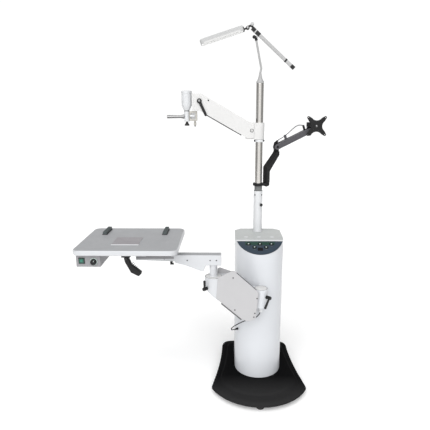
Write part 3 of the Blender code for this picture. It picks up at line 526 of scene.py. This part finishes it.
def smooth_route(route, steps):
    """A Catmull-Rom curve through the route's places."""
    places = [Vector(place) for place in route]
    places = [places[0]] + places + [places[-1]]
    result = []
    for index in range(1, len(places) - 2):
        a, b, c, d = places[index - 1 : index + 3]
        for step in range(steps):
            t = step / steps
            square = (2 * a - 5 * b + 4 * c - d) * t**2
            cube = (3 * b - a - 3 * c + d) * t**3
            result.append(0.5 * (2 * b + (c - a) * t + square + cube))
    result.append(places[-2])
    return result


def stand_route(route, steps):
    """A smooth route whose places are given in the stand's own frame."""
    return [spot(*place) for place in smooth_route(route, steps)]


def screw(name, at, direction, radius, body):
    """A socket-head screw with a dished head, seated on the surface."""
    rise = radius * 0.45
    profile = [(0, rise * 0.3), (radius * 0.42, rise * 0.3), (radius * 0.46, rise), (radius * 0.8, rise)]
    profile += [(radius, rise * 0.5), (radius, -0.0003), (0, -0.0003)]
    return lathe(name, profile, at, direction, body, SHADOW_GREY, 20)


def around(degrees, side):
    """A level direction that many degrees from straight ahead, to one side."""
    turn = math.radians(degrees) * side
    return Vector((math.sin(turn), -math.cos(turn), 0))


# ---------------------------------------------------------------- cords

LEAD_FROM = 0.1353 + 0.0172  # from the column's arc centre to its wall, and on to just past the gland


def build_cords():
    """The lead from the column's gland to the hub bracket, and the cable over the monitor arm."""
    outward = Vector((-0.115, -0.0608, 0)).normalized()
    start = Vector((0, -0.01, 0.345)) + outward * LEAD_FROM
    route = [start, start + outward * 0.012, (-0.1560, -0.0985, 0.352), (-0.1555, -0.1130, 0.368)]
    route += [(-0.1400, -0.1280, 0.390), (-0.1150, -0.1450, 0.415), (-0.0850, -0.1630, 0.440)]
    route += [(-0.0500, -0.1800, 0.464), (-0.0280, -0.1870, 0.472), (-0.0100, -0.1910, 0.490)]
    route += [(-0.0025, -0.1925, 0.507), (-0.0010, -0.1930, 0.5193)]
    points = stand_route(route, 4)
    lead = pipe("lift_lead_cord", points, 0.0026, "stand", BLACK)
    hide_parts("lift_lead")
    middle = CABLE_START.lerp(CABLE_END, 0.3) + Vector((0, 0, 0.004))
    high = CABLE_START.lerp(CABLE_END, 0.72) + Vector((0, 0, 0.024))
    points = stand_route([CABLE_START, middle, high, CABLE_END], 10)
    cable = pipe("monitor_cable_cord", points, 0.0025, "monitor_upper", DARK_GREY)
    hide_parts("monitor_cable")


# ---------------------------------------------------------------- detail pieces


def on_keypad(x, along, rise):
    """A place on the sloping keypad: across, down the slope from its top edge, and out of its face."""
    down = Vector((0, -math.cos(KEYPAD_SLOPE), -math.sin(KEYPAD_SLOPE)))
    out = Vector((0, -math.sin(KEYPAD_SLOPE), math.cos(KEYPAD_SLOPE)))
    return STAND + KEYPAD_TOP + down * along + Vector((x, 0, 0)) + out * (KEYPAD_FACE + rise)


def detail_keypad():
    """The keys' icons, rims and label bars, the green field, the display, the cap's white band of painted
    highlight and its plugs.
    """
    slope = Matrix.Rotation(KEYPAD_SLOPE, 4, "X")
    out = slope @ UP
    icon = [(0, 0.0003), (0.0036, 0.0003), (0.0040, 0), (0, -0.0001)]
    label = rectangle(0.0120, 0.0020, 0.0006)
    for number, (x, along) in enumerate(KEYS, 1):
        face = on_keypad(x, along, KEY_FACE)
        lathe(f"key_icon_{number}", icon, face, out, f"key_{number}", PRINT_WHITE, 20)
        rim = on_keypad(x, along, 0.0001)
        ring(f"key_bezel_{number}", 0.0080, 0.0122, 0, 0.0009, rim, out, "stand", KEY, 0.0003)
        place = Matrix.Translation(on_keypad(x, along + LABEL_BELOW_KEY, 0.0003)) @ slope
        slab(f"key_label_{number}", label, 0.0003, place, "stand", LINING, 0)
    place = Matrix.Translation(on_keypad(0, 0.017, 0.00015)) @ slope
    slab("keypad_field", rectangle(0.164, 0.026, 0.004), 0.0003, place, "stand", KEYPAD_GREEN, 0)
    place = Matrix.Translation(on_keypad(0, 0.0625, 0.0007)) @ slope
    slab("display_window", rectangle(0.028, 0.022, 0.0015), 0.0014, place, "stand", DISPLAY, 0.0003)
    # A white band along the cap's front chamfer: painted highlight.
    band = spot(0, -0.0512, CAP_TOP - 0.0033)
    block("cap_front_highlight", (0.2620, 0.0030, 0.0072), band, "stand", WHITE, 0.0008)
    plug = [(0, 0.0016), (0.0060, 0.0015), (0.0105, 0.0009), (0.0120, 0.0001), (0, 0)]
    for name, x in (("left", -0.0735), ("middle", 0.0), ("right", 0.0735)):
        lathe(f"cap_plug_{name}", plug, spot(x, 0.006, CAP_TOP), UP, "stand", WHITE, 28)


def detail_pole():
    """The screws, collars and rings round the pole and its socket."""
    stud = [(0, 0.0045), (0.0042, 0.0045), (0.0056, 0.0034), (0.0056, 0), (0, 0)]
    for name, side in SIDES:
        outward = around(48, side)
        seat = on_pole(SOCKET_TOP - 0.023) + outward * 0.0259
        screw(f"socket_screw_{name}", seat, outward, 0.0042, "stand")
        outward = Vector((side, -0.45, 0)).normalized()
        seat = on_pole(1.409) + outward * 0.0268
        lathe(f"collar_screw_{name}", stud, seat, outward, "stand", BLACK, 20)
    rings = {
        "arm_collar": (0.0213, 0.0275, 1.4015, 1.4163, WHITE, 0.001),
        "socket_foot_ring": (0.0262, 0.0300, CAP_TOP + 0.0003, CAP_TOP + 0.0035, WHITE, 0.001),
        # a dark grey band round the pole just above its socket
        "pole_dark_band": (0.0213, 0.0224, SOCKET_TOP + 0.0022, SOCKET_TOP + 0.0290, LINING, 0.0004),
        "socket_lip": (0.0214, 0.0252, SOCKET_TOP + 0.0002, SOCKET_TOP + 0.0018, LINING, 0.0004),
    }
    for name, (inner, outer, low, high, material, edge) in rings.items():
        ring(name, inner, outer, low, high, on_pole(0), UP, "stand", material, edge)


def detail_phoropter():
    """The phoropter arm's pivots, screws and webs."""
    washer = [(0, 0.0014), (0.0092, 0.0014), (0.0102, 0.0006), (0.0102, 0), (0, 0)]
    dome = [(0, 0.0012), (0.0028, 0.0014), (0.0032, 0.0040), (0.0058, 0.0036), (0.0072, 0.0018)]
    dome += [(0.0072, 0), (0, 0)]
    bolt = [(0, 0.0078), (0.0035, 0.0078), (0.0038, 0.0105), (0.0064, 0.0100), (0.0076, 0.0080)]
    bolt += [(0.0078, 0.0005), (0, 0.0005)]
    arm = "phoropter_arm"
    pivot = spot(*ARM_PIVOT)
    lathe("arm_pivot_washer", washer, pivot, FORWARD, arm, CHROME)
    lathe("arm_pivot_screw", dome, pivot + FORWARD * 0.0013, FORWARD, arm, ARM_WHITE, 24)
    ring("arm_pivot_seam", 0.0074, 0.0088, 0.0010, 0.0019, pivot, FORWARD, arm, SHADOW_GREY, 0.0002)
    lathe("head_pivot_bolt", bolt, spot(HEAD_PIVOT_X, ARM_FRONT, HEAD_PIVOT_Z), FORWARD, "lock_lever", CHROME)
    screw("arm_screw", spot(-0.2860, ARM_FRONT, 1.6315), FORWARD, 0.0042, arm)
    screw("arm_rear_screw", spot(-0.2860, ARM_REAR, 1.6315), -FORWARD, 0.0042, arm)
    lathe("arm_pivot_rear_cap", washer, spot(-0.0500, ARM_REAR, 1.465), -FORWARD, arm, CHROME)
    rear_pivot = spot(HEAD_PIVOT_X, ARM_REAR, HEAD_PIVOT_Z)
    lathe("head_pivot_rear_cap", washer, rear_pivot, -FORWARD, "phoropter_head", CHROME)
    strips = {
        "arm_top_web": ((-0.088, 1.5290), (-0.300, 1.6518), 0.0020, WHITE),
        "arm_link": ((-0.102, 1.4405), (-0.300, 1.5535), 0.0055, SHADOW_GREY),
    }
    for name, (start, end, thick, material) in strips.items():
        slope = math.atan2(end[1] - start[1], start[0] - end[0])
        length = math.hypot(end[0] - start[0], end[1] - start[1])
        centre = spot((start[0] + end[0]) / 2, POLE_SETBACK, (start[1] + end[1]) / 2)
        block(name, (length, 0.0575, thick), centre, arm, material, 0.0006, pitched(slope))
    detail_phoropter_head()


def detail_phoropter_head():
    """The head's cap screws and disc, the rod's collar, and the clamp with its thumb screw."""
    spindle = "phoropter_spindle"
    barrel = spot(BARREL_X, POLE_SETBACK, 0)
    for name, side in SIDES:
        outward = around(78, side)
        seat = barrel + UP * 1.6775 + outward * 0.0255
        screw(f"head_cap_screw_{name}", seat, outward, 0.0046, "phoropter_head")
    disc = [(0, 0.0012), (0.0170, 0.0012), (0.0185, 0.0004), (0.0185, 0), (0, 0)]
    lathe("head_cap_disc", disc, barrel + UP * 1.6841, UP, "phoropter_head", WHITE)
    ring("spindle_seam", 0.0147, 0.0158, 1.5735, 1.5765, barrel, UP, spindle, LINING, 0.0004)
    rod = barrel + UP * ROD_HEIGHT
    ring("rod_collar", 0.0088, 0.0122, 0.0155, 0.0215, rod, LEFTWARD, spindle, CHROME)
    face = spot(-0.3731, POLE_SETBACK, 1.5475) + FORWARD * 0.0160
    # A greyer flat plate where the clamp's face is recessed: painted shade of the recess.
    block("clamp_recess_shade", (0.026, 0.0012, 0.034), face + FORWARD * 0.0004, spindle, LAMP_GREY, 0.0003)
    for name, z in (("upper", 0.0110), ("lower", -0.0110)):
        seam = face + Vector((-0.0120, -0.0011, z))
        block(f"clamp_seam_{name}", (0.0026, 0.0008, 0.0090), seam, spindle, SHADOW_GREY, 0.0003)
    ends = [face + Vector((x, -0.0010, 0)) for x in (-0.0180, 0.0090)]
    pipe("clamp_cross_rod", ends, 0.0058, spindle, WHITE)
    thumb = [(0, 0.0310), (0.0036, 0.0310), (0.0044, 0.0290), (0.0044, 0.0262), (0.0030, 0.0258)]
    thumb += [(0.0030, 0.0245), (0.0062, 0.0238), (0.0070, 0.0200), (0.0070, 0.0100), (0.0048, 0.0080)]
    thumb += [(0.0048, 0.0003), (0, 0.0003)]
    body = lathe("thumb_screw", thumb, spot(*THUMB_SCREW_SEAT), -UP, spindle, BEIGE, 24)
    body.data.materials.append(SHADOW_GREY)
    for polygon in body.data.polygons:
        polygon.material_index = 1 if polygon.center.z > THUMB_TIP_FROM else 0


def lamp_route(route, steps):
    """A smooth route in the upright plane of the pole, the lamp arm and the lamp's hinge."""
    return stand_route([(x, POLE_SETBACK, z) for x, z in route], steps)


def detail_lamp():
    """The lamp's elbow, the pieces along its arm, and the hinge at the arm's upper end."""
    along = Vector((math.cos(LAMP_ARM_TURN), 0, -math.sin(LAMP_ARM_TURN)))
    over = Vector((math.sin(LAMP_ARM_TURN), 0, math.cos(LAMP_ARM_TURN)))
    tilt = pitched(LAMP_ARM_TURN)
    arm = "lamp_arm"

    def on_arm(share):
        """A place on the lamp arm's middle line, as a share of its length from its upper end."""
        return STAND + LAMP_ELBOW + along * (LAMP_ARM_LENGTH * share - 0.0445) + over * 0.0225

    bend = [(-0.0245, 1.9440), (-0.0262, 1.9530), (-0.0300, 1.9600), (-0.0370, 1.9625)]
    pipe("lamp_elbow", lamp_route(bend, 4), 0.0078, "lamp_stem", BLACK)
    turns = [math.pi * step / 10 for step in range(11)]
    ball = [(0.0095 * math.sin(turn), -0.0095 * math.cos(turn)) for turn in turns]
    lathe("lamp_elbow_ball", ball, spot(-0.0370, POLE_SETBACK, 1.9622), UP, "lamp_stem", BLACK, 20)
    link = STAND + LAMP_ELBOW + over * 0.0105
    block("lamp_arm_link", (0.012, 0.010, 0.018), link, arm, LAMP_WHITE, 0.002, tilt)
    for name, forward in FACES:
        place = on_arm(0.51) + FORWARD * 0.0062 * forward
        block(f"lamp_arm_rib_{name}", (0.215, 0.0008, 0.0030), place, arm, LAMP_WHITE, 0.0003, tilt)
    block("lamp_arm_clip", (0.0085, 0.0145, 0.0196), on_arm(0.800), arm, BLACK, 0.0015, tilt)
    block("lamp_arm_tip", (0.0230, 0.0145, 0.0190), on_arm(0.968), arm, BLACK, 0.0068, tilt)
    block("lamp_arm_head", (0.0260, 0.0150, 0.0205), on_arm(0.120), arm, BLACK, 0.0035, tilt)
    block("lamp_arm_band", (0.0060, 0.0160, 0.0200), on_arm(0.066), arm, LAMP_WHITE, 0.0010, tilt)
    block("lamp_arm_shoulder", (0.0240, 0.0150, 0.0200), on_arm(0.020), arm, BLACK, 0.0045, tilt)
    arch = [(-0.0400, 2.0030), (-0.0480, 2.0145), (-0.0590, 2.0185), (-0.0680, 2.0140)]
    pipe("lamp_hinge_arch", lamp_route(arch, 5), 0.0055, arm, BLACK)
    hinge = STAND + LAMP_HINGE
    barrel = [(0, -0.0090), (0.0085, -0.0090), (0.0098, -0.0078), (0.0098, 0.0078), (0.0085, 0.0090)]
    barrel += [(0, 0.0090)]
    lathe("lamp_hinge_barrel", barrel, hinge, FORWARD, arm, BLACK, 24)
    cap = [(0, 0.0016), (0.0048, 0.0014), (0.0064, 0.0004), (0.0064, 0), (0, 0)]
    lathe("lamp_hinge_cap", cap, hinge + FORWARD * 0.0090, FORWARD, arm, CHROME, 24)
    lathe("lamp_hinge_rear_cap", cap, hinge - FORWARD * 0.0090, -FORWARD, arm, CHROME, 24)
    knob = [(0, 0.0085), (0.0060, 0.0080), (0.0092, 0.0050), (0.0100, 0), (0.0092, -0.0050)]
    knob += [(0.0060, -0.0080), (0, -0.0085)]
    lathe("lamp_arm_knob", knob, spot(-0.0480, POLE_SETBACK, 2.0270), FORWARD, arm, LAMP_WHITE, 24)
    detail_lamp_head(hinge)


def detail_lamp_head(hinge):
    """The neck from the lamp's hinge, and the pieces on its long shade."""
    reach = Vector((-math.cos(LAMP_HEAD_TURN), 0, math.sin(LAMP_HEAD_TURN)))
    below = Vector((-math.sin(LAMP_HEAD_TURN), 0, -math.cos(LAMP_HEAD_TURN)))
    low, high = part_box("lamp_shade")
    middle = (low + high) / 2
    tilt = pitched(LAMP_HEAD_TURN)
    head = "lamp_head"
    pipe("lamp_head_neck", [hinge + reach * 0.0088, hinge + reach * 0.0300], 0.0050, head, BLACK)
    block("lamp_head_yoke", (0.0060, 0.0300, 0.0230), hinge + reach * 0.0235, head, BLACK, 0.0020, tilt)
    # The diffuser on the shade's underside is brightened: painted light.
    block("lamp_diffuser", (0.230, 0.0490, 0.0030), middle + below * 0.0140, head, LENS_PAINTED_LIGHT, 0.0004, tilt)
    block("lamp_top_rib", (0.196, 0.030, 0.0024), middle - below * 0.0156, head, LAMP_WHITE, 0.0010, tilt)
    stripe = middle + FORWARD * 0.0262 + below * 0.0085
    block("lamp_front_stripe", (0.206, 0.0010, 0.0100), stripe, head, DIFFUSER, 0.0004, tilt)
    switch = middle - reach * 0.104 - below * 0.0156
    block("lamp_switch", (0.022, 0.0160, 0.0030), switch, head, BLACK, 0.0010, tilt)


def detail_monitor_arm():
    """The monitor arm's post cap, pins, panels and cable fittings, and the screws of its plate."""
    post = STAND + MONITOR_POST
    elbow = STAND + MONITOR_ELBOW
    wrist = STAND + MONITOR_WRIST
    arm = "monitor_upper"
    cap = [(0, 0.0040), (0.0105, 0.0040), (0.0135, 0.0028), (0.0148, 0.0010), (0.0148, 0), (0, 0)]
    lathe("monitor_post_cap", cap, post - UP * 0.0155, -UP, "stand", ARM_BLACK)
    screw("monitor_post_screw", post - UP * 0.0195, -UP, 0.0055, "stand")
    clamp_side = Vector((-0.9, -0.43, 0)).normalized()
    screw("monitor_clamp_screw", on_pole(1.158) + clamp_side * 0.0313, clamp_side, 0.0058, "stand")
    heading = (wrist - elbow).to_2d().normalized()
    across = Vector((heading.y, -heading.x, 0))
    pin = [(0, 0.0012), (0.0062, 0.0012), (0.0078, 0.0003), (0.0078, 0), (0, 0)]
    for joint, place in (("elbow", elbow), ("wrist", wrist)):
        for name, side in FACES:
            out = across * side
            lathe(f"monitor_{joint}_pin_{name}", pin, place + out * 0.0150, out, arm, ARM_BLACK, 24)
    slope = math.atan2(wrist.z - elbow.z, (wrist - elbow).to_2d().length)
    turn = Matrix.Rotation(math.atan2(heading.y, heading.x), 4, "Z") @ pitched(-slope)
    middle = elbow.lerp(wrist, 0.5)
    for name, side in FACES:
        place = middle + across * side * 0.0153
        block(f"monitor_arm_panel_{name}", (0.190, 0.0010, 0.0200), place, arm, DARK_GREY, 0.0004, turn)
    clip = STAND + CABLE_START.lerp(CABLE_END, 0.3) + Vector((0, 0, -0.0055))
    block("monitor_cable_clip", (0.0110, 0.0120, 0.0260), clip, arm, DARK_GREY, 0.0020, turn)
    anchor = STAND + CABLE_END + Vector((-0.0015, -0.0007, -0.0125))
    block("monitor_cable_anchor", (0.0090, 0.0100, 0.0340), anchor, arm, ARM_BLACK, 0.0020, turn)
    boot = STAND + CABLE_START + Vector((-0.001, 0, -0.0035))
    block("monitor_cable_boot", (0.0130, 0.0100, 0.0080), boot, arm, ARM_BLACK, 0.0020, turn)
    plate = STAND + VESA_FACE
    boss = [(0, 0.0022), (0.0072, 0.0022), (0.0092, 0.0012), (0.0098, 0), (0, 0)]
    lathe("vesa_washer", boss, plate, FORWARD, "vesa_plate", SHADOW_GREY)
    head = [(0, 0.0046), (0.0028, 0.0042), (0.0048, 0.0028), (0.0056, 0.0004), (0, 0.0004)]
    lathe("vesa_screw", head, plate + FORWARD * 0.0018, FORWARD, "vesa_plate", CHROME, 24)
    for across_name, x in (("l", -VESA_HALF_PITCH), ("r", VESA_HALF_PITCH)):
        for up_name, z in (("b", -VESA_HALF_PITCH), ("t", VESA_HALF_PITCH)):
            name = f"vesa_hole_rim_{across_name}{up_name}"
            hole = plate + Vector((x, 0, z))
            ring(name, 0.0027, 0.0046, 0, 0.0007, hole, FORWARD, "vesa_plate", ARM_BLACK, 0.0002)


def detail_lift_arm():
    """The lift arm's screws, its dark strip of painted shade along the top, its flanges, stop and gas spring,
    and the caps and seams of its hub and knuckle.
    """
    arm = "lift_arm"
    screws = [(-0.1500, 0.7290), (-0.0235, 0.6140), (-0.1400, 0.5480), (-0.0340, 0.5300), (-0.0385, 0.5080)]
    for number, (x, z) in enumerate(screws, 1):
        screw(f"lift_cover_screw_{number}", spot(x, LIFT_FRONT, z), FORWARD, 0.0036, arm)
        rear_z = min(z, 0.7050) if x < -0.1 else min(z, 0.6040)  # the upper ones sit lower at the rear
        screw(f"lift_rear_screw_{number}", spot(x, LIFT_REAR, rear_z), -FORWARD, 0.0036, arm)
    # A dark strip between the covers under their top edges: painted shade of the gap between them.
    low = Vector((-0.0275, -0.2385, 0.6570))
    high = Vector((-0.1311, -0.2385, 0.7512))
    tilt = pitched(math.atan2(high.z - low.z, low.x - high.x))
    shade_strip_size = ((high - low).length, 0.0160, 0.0016)
    block("lift_top_shade_strip", shade_strip_size, STAND + low.lerp(high, 0.5), arm, SHADOW_GREY, 0.0004, tilt)
    slope = math.atan2(0.6120 - 0.4900, 0.2380 - 0.0974)  # that of the arm's lower edge
    tilt = pitched(slope)
    along = Vector((-math.cos(slope), 0, math.sin(slope)))
    outward = Vector((-math.sin(slope), 0, -math.cos(slope)))
    middle = spot(-0.1535, LIFT_Y, 0.5370)
    for name, forward in FACES:
        place = middle + FORWARD * 0.034 * forward + outward * 0.0062
        block(f"lift_bottom_flange_{name}", (0.138, 0.018, 0.0040), place, arm, LINING, 0.0008, tilt)
    stop = spot(-0.2135, -0.232, 0.5870) - along * 0.016
    block("lift_stop", (0.0160, 0.0120, 0.0130), stop, arm, BLACK, 0.0020, tilt)
    spring = [spot(-0.0620, LIFT_Y, 0.5720), spot(-0.1420, LIFT_Y, 0.6330)]
    pipe("lift_gas_spring", spring, 0.0100, arm, SHADOW_GREY)
    pipe("lift_gas_rod", [spring[1], spot(-0.1640, LIFT_Y, 0.6500)], 0.0042, arm, CHROME)
    cap = [(0, 0.0010), (0.0300, 0.0010), (0.0320, 0.0002), (0.0320, 0), (0, 0)]
    hub = spot(0, LIFT_Y, HUB_TOP)
    lathe("hub_cap", cap, hub, UP, "swing_hub", ARM_WHITE, 40)
    ring("hub_cap_seam", 0.0322, 0.0338, 0, 0.0006, hub, UP, "swing_hub", LINING, 0.0002)
    knuckle = spot(KNUCKLE_X, LIFT_Y, 0)
    rings = {
        "knuckle_plate": (0.0215, 0.0420, KNUCKLE_TOP, 0.7212, "table_knuckle", ARM_WHITE, 0.0004),
        "knuckle_seam": (0.0420, 0.0436, KNUCKLE_TOP, 0.7207, "table_knuckle", LINING, 0.0002),
        "shaft_collar": (0.0207, 0.0245, 0.7216, 0.7250, "table_arm", WHITE, 0.0008),
    }
    for name, (inner, outer, bottom, top, body, material, edge) in rings.items():
        ring(name, inner, outer, bottom, top, knuckle, UP, body, material, edge)


def detail_table():
    """The table's inlay, slide pad and rails, the mount of the release lever and the pieces on that lever."""
    low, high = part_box("table_top")
    middle = (low + high) / 2
    middle.z = TABLE_TOP + 0.0003
    outline = rectangle(high.x - low.x - 0.010, high.y - low.y - 0.010, 0.036)
    slab("table_surface", outline, 0.0008, Matrix.Translation(middle), "table", GREY_TOP, 0)
    pad = spot(-0.700, -0.215, 0)
    place = Matrix.Translation(pad + UP * 0.9183)
    slab("slide_pad", rectangle(0.1385, 0.1285, 0.002), 0.0008, place, "table", PAD_GREY, 0.0002)
    lip = pad + Vector((0, -0.0662, 0.9176))
    block("slide_pad_edge", (0.1400, 0.0024, 0.0042), lip, "table", WHITE, 0.0006)
    tooth = (0.0160, 0.0046, 0.0024)
    for name, x in (("left", -0.854), ("right", -0.524)):
        for number in range(RAIL_TEETH):
            place = spot(x, RAIL_Y - 0.048 + TOOTH_PITCH * number, 0.9321)
            block(f"rail_{name}_tooth_{number}", tooth, place, "table", STRIP, 0.0005)
        foot = (0.0290, 0.1210, 0.0022)
        block(f"rail_{name}_foot", foot, spot(x, RAIL_Y, 0.9169), "table", SHADOW_GREY, 0.0006)
    detail_controls()
    block("lever_mount", (0.0440, 0.0360, 0.0300), spot(-0.6920, -0.2920, 0.8735), "table", BLACK, 0.0030)
    plate = spot(-0.6920, -0.2880, 0.8872)
    block("lever_mount_plate", (0.0800, 0.0700, 0.0030), plate, "table", SHADOW_GREY, 0.0008)
    pivot = STAND + LEVER_PIVOT
    heading = (STAND + LEVER_TIP - pivot).normalized()
    over = Vector((-heading.z, 0, heading.x)) * 0.001
    tilt = pitched(math.atan2(-heading.z, heading.x))
    grip = (0.0030, 0.0008, 0.0150)
    for number in range(LEVER_GRIPS):
        middle = pivot + heading * (GRIPS_START + GRIP_PITCH * number) + over
        for name, forward in FACES:
            place = middle + FORWARD * 0.0131 * forward
            block(f"lever_grip_{name}_{number}", grip, place, "release_lever", BLACK, 0.0003, tilt)
    pin = [(0, 0.0016), (0.0046, 0.0016), (0.0058, 0.0006), (0.0058, 0), (0, 0)]
    lathe("lever_pin", pin, pivot + FORWARD * 0.0130, FORWARD, "release_lever", SHADOW_GREY, 20)


def detail_controls():
    """The rocker switch's frame and lens, and the dimmer's scale, pointer and ribs."""
    rocker = spot(-0.898, CONTROL_FRONT, 0.8595)
    level_bar = (0.0310, 0.0016, 0.0030)
    upright_bar = (0.0030, 0.0016, 0.0250)
    bars = {
        "top": (0, 0.0140, level_bar),
        "bottom": (0, -0.0140, level_bar),
        "left": (-0.0140, 0, upright_bar),
        "right": (0.0140, 0, upright_bar),
    }
    for name, (x, z, size) in bars.items():
        block(f"rocker_frame_{name}", size, rocker + Vector((x, -0.0006, z)), "table", BLACK, 0.0004)
    place = face_on(rocker + Vector((0, -0.0059, 0.0010)))
    slab("rocker_lens", rectangle(0.0120, 0.0100, 0.0020), 0.0006, place, "rocker_switch", ROCKER_LIT, 0.0002)
    knob = spot(-0.8386, CONTROL_FRONT, 0.855)
    scale = knob + FORWARD * 0.0009
    ring("dimmer_scale", 0.0152, 0.0192, 0, 0.0008, scale, FORWARD, "table", PRINT_WHITE, 0.0002)
    place = face_on(knob + FORWARD * 0.0150 + Vector((0.0040, 0, 0.0062)), DIMMER_POINTS)
    pointer = rectangle(0.0022, 0.0085, 0.0005)
    slab("dimmer_pointer", pointer, 0.0009, place, "dimmer_knob", PRINT_WHITE, 0.0002)
    rib = rectangle(0.0016, 0.0016)
    for number in range(DIMMER_RIBS):
        turn = 2 * math.pi * number / DIMMER_RIBS
        out = Vector((math.sin(turn), 0, math.cos(turn)))
        place = face_on(knob + FORWARD * 0.0072 + out * 0.0145, turn)
        slab(f"dimmer_rib_{number}", rib, 0.0105, place, "dimmer_knob", BLACK, 0.0003)


def detail_table_arm():
    """The table arm's stop, rail front, screws and top cover."""
    stop = [(-0.4790, 0.7930), (-0.4610, 0.7930), (-0.4610, 0.8010), (-0.4670, 0.8010)]
    stop += [(-0.4670, 0.8080), (-0.4790, 0.8080)]
    slab("rail_stop", stop, 0.0100, face_on(spot(0, -0.2245, 0)), "table_arm", BLACK, 0.0008)
    front = spot(-0.5570, -0.2248, 0.8290)
    block("table_rail_front", (0.1960, 0.0016, 0.0120), front, "table_arm", CONTROL, 0.0004)
    screws = [(-0.2370, 0.8150), (-0.2700, 0.8150), (-0.3900, 0.8150), (-0.5100, 0.8230)]
    for number, (x, z) in enumerate(screws):
        screw(f"table_arm_screw_{number}", spot(x, -0.2240, z), FORWARD, 0.0034, "table_arm")
    cover = spot(-0.3260, LIFT_Y, 0.84262)
    block("table_arm_cover", (0.2240, 0.0460, 0.0012), cover, "table_arm", GREY_TOP, 0.0003)


def detail_base():
    """The collars of the levelling feet and the screws down the column's sides."""
    for name in ("front", "front_left", "front_right", "rear_left", "rear_right"):
        low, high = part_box(f"levelling_foot_{name}")
        centre = (low + high) / 2
        centre.z = 0
        inner = (high.x - low.x) / 2 * 0.5
        outer = (high.x - low.x) / 2 + 0.0008
        ring(f"foot_collar_{name}", inner, outer, 0.0120, 0.0160, centre, UP, "stand", SHADOW_GREY, 0.0010)
    for name, side in SIDES:
        outward = Vector((side, 0, 0))
        for number, z in enumerate((0.12, 0.46, 0.80)):
            screw(f"column_{name}_screw_{number}", spot(0.1345 * side, 0.110, z), outward, 0.0038, "stand")


# ---------------------------------------------------------------- room

FLOOR_SIZE = (11, 40, 1)
FLOOR_MIDDLE = (0, 14, 0)
FLOOR_GLOW = 0.12
SUN_STRENGTH = 3.15
SUN_SPREAD = math.radians(72)
SUN_DIRECTION = Vector((-0.12, -0.70, 0.70))


def make_floor():
    bpy.ops.mesh.primitive_plane_add(size=1, location=FLOOR_MIDDLE)
    floor = bpy.context.object
    floor.scale = FLOOR_SIZE
    floor.name = "studio_floor"
    material, nodes, links, shader = principled("studio_floor")
    patch = noise(nodes, links, coordinates(nodes, links), 3.0)
    colour = tint(nodes, links, patch, (0.93, 0.93, 0.93), (0.95, 0.95, 0.95))
    links.new(colour, shader.inputs["Base Color"])
    shader.inputs["Roughness"].default_value = 0.9
    shader.inputs["Specular IOR Level"].default_value = 0.1
    shader.inputs["Emission Color"].default_value = (1, 1, 1, 1)
    shader.inputs["Emission Strength"].default_value = FLOOR_GLOW
    floor.data.materials.append(material)


def make_light():
    """A white horizon, a dimmer ceiling and sides, and one broad soft sun from the front."""
    world = bpy.data.worlds.new("studio")
    bpy.context.scene.world = world
    world.use_nodes = True
    nodes = world.node_tree.nodes
    links = world.node_tree.links
    place = nodes.new("ShaderNodeTexCoord")
    height = axis_of(nodes, links, place.outputs["Generated"], "Z")
    across = axis_of(nodes, links, place.outputs["Generated"], "X")
    level = spread(nodes, links, height, 1.04, 0.42, 0.22, 0.55)
    side = nodes.new("ShaderNodeMath")
    side.operation = "ABSOLUTE"
    links.new(across, side.inputs[0])
    dim = spread(nodes, links, side.outputs["Value"], 1.0, 0.32, 0.50, 0.78)
    background = nodes["Background"]
    links.new(combine(nodes, links, "MULTIPLY", level, dim), background.inputs["Strength"])
    background.inputs["Color"].default_value = (1, 1, 1, 1)
    data = bpy.data.lights.new("studio_sun", "SUN")
    data.energy = SUN_STRENGTH
    data.angle = SUN_SPREAD
    sun = bpy.data.objects.new("studio_sun", data)
    bpy.context.scene.collection.objects.link(sun)
    sun.rotation_euler = SUN_DIRECTION.to_track_quat("Z", "Y").to_euler()


CAMERA_PLACE = (-0.182, -2.35, 1.57)
CAMERA_YAW = 1.65
CAMERA_PITCH = 13.5
CAMERA_ROLL = -0.3
CAMERA_LENS = 36.0
CAMERA_SENSOR = 36.0


def make_camera():
    data = bpy.data.cameras.new("photo_view")
    data.lens = CAMERA_LENS
    data.sensor_width = CAMERA_SENSOR
    data.dof.use_dof = False
    camera = bpy.data.objects.new("photo_view", data)
    bpy.context.scene.collection.objects.link(camera)
    camera.location = spot(*CAMERA_PLACE)
    level = Matrix.Rotation(math.radians(90 - CAMERA_PITCH), 4, "X")
    roll = Matrix.Rotation(math.radians(CAMERA_ROLL), 4, "Z")
    yaw = Matrix.Rotation(math.radians(CAMERA_YAW), 4, "Z")
    camera.rotation_euler = (yaw @ level @ roll).to_euler()
    bpy.context.scene.camera = camera


bpy.context.scene.view_settings.view_transform = "Standard"
make_camera()
build_cords()
dress_cad_nodes()
detail_keypad()
detail_pole()
detail_phoropter()
detail_lamp()
detail_monitor_arm()
detail_lift_arm()
detail_table()
detail_table_arm()
detail_base()
make_floor()
make_light()
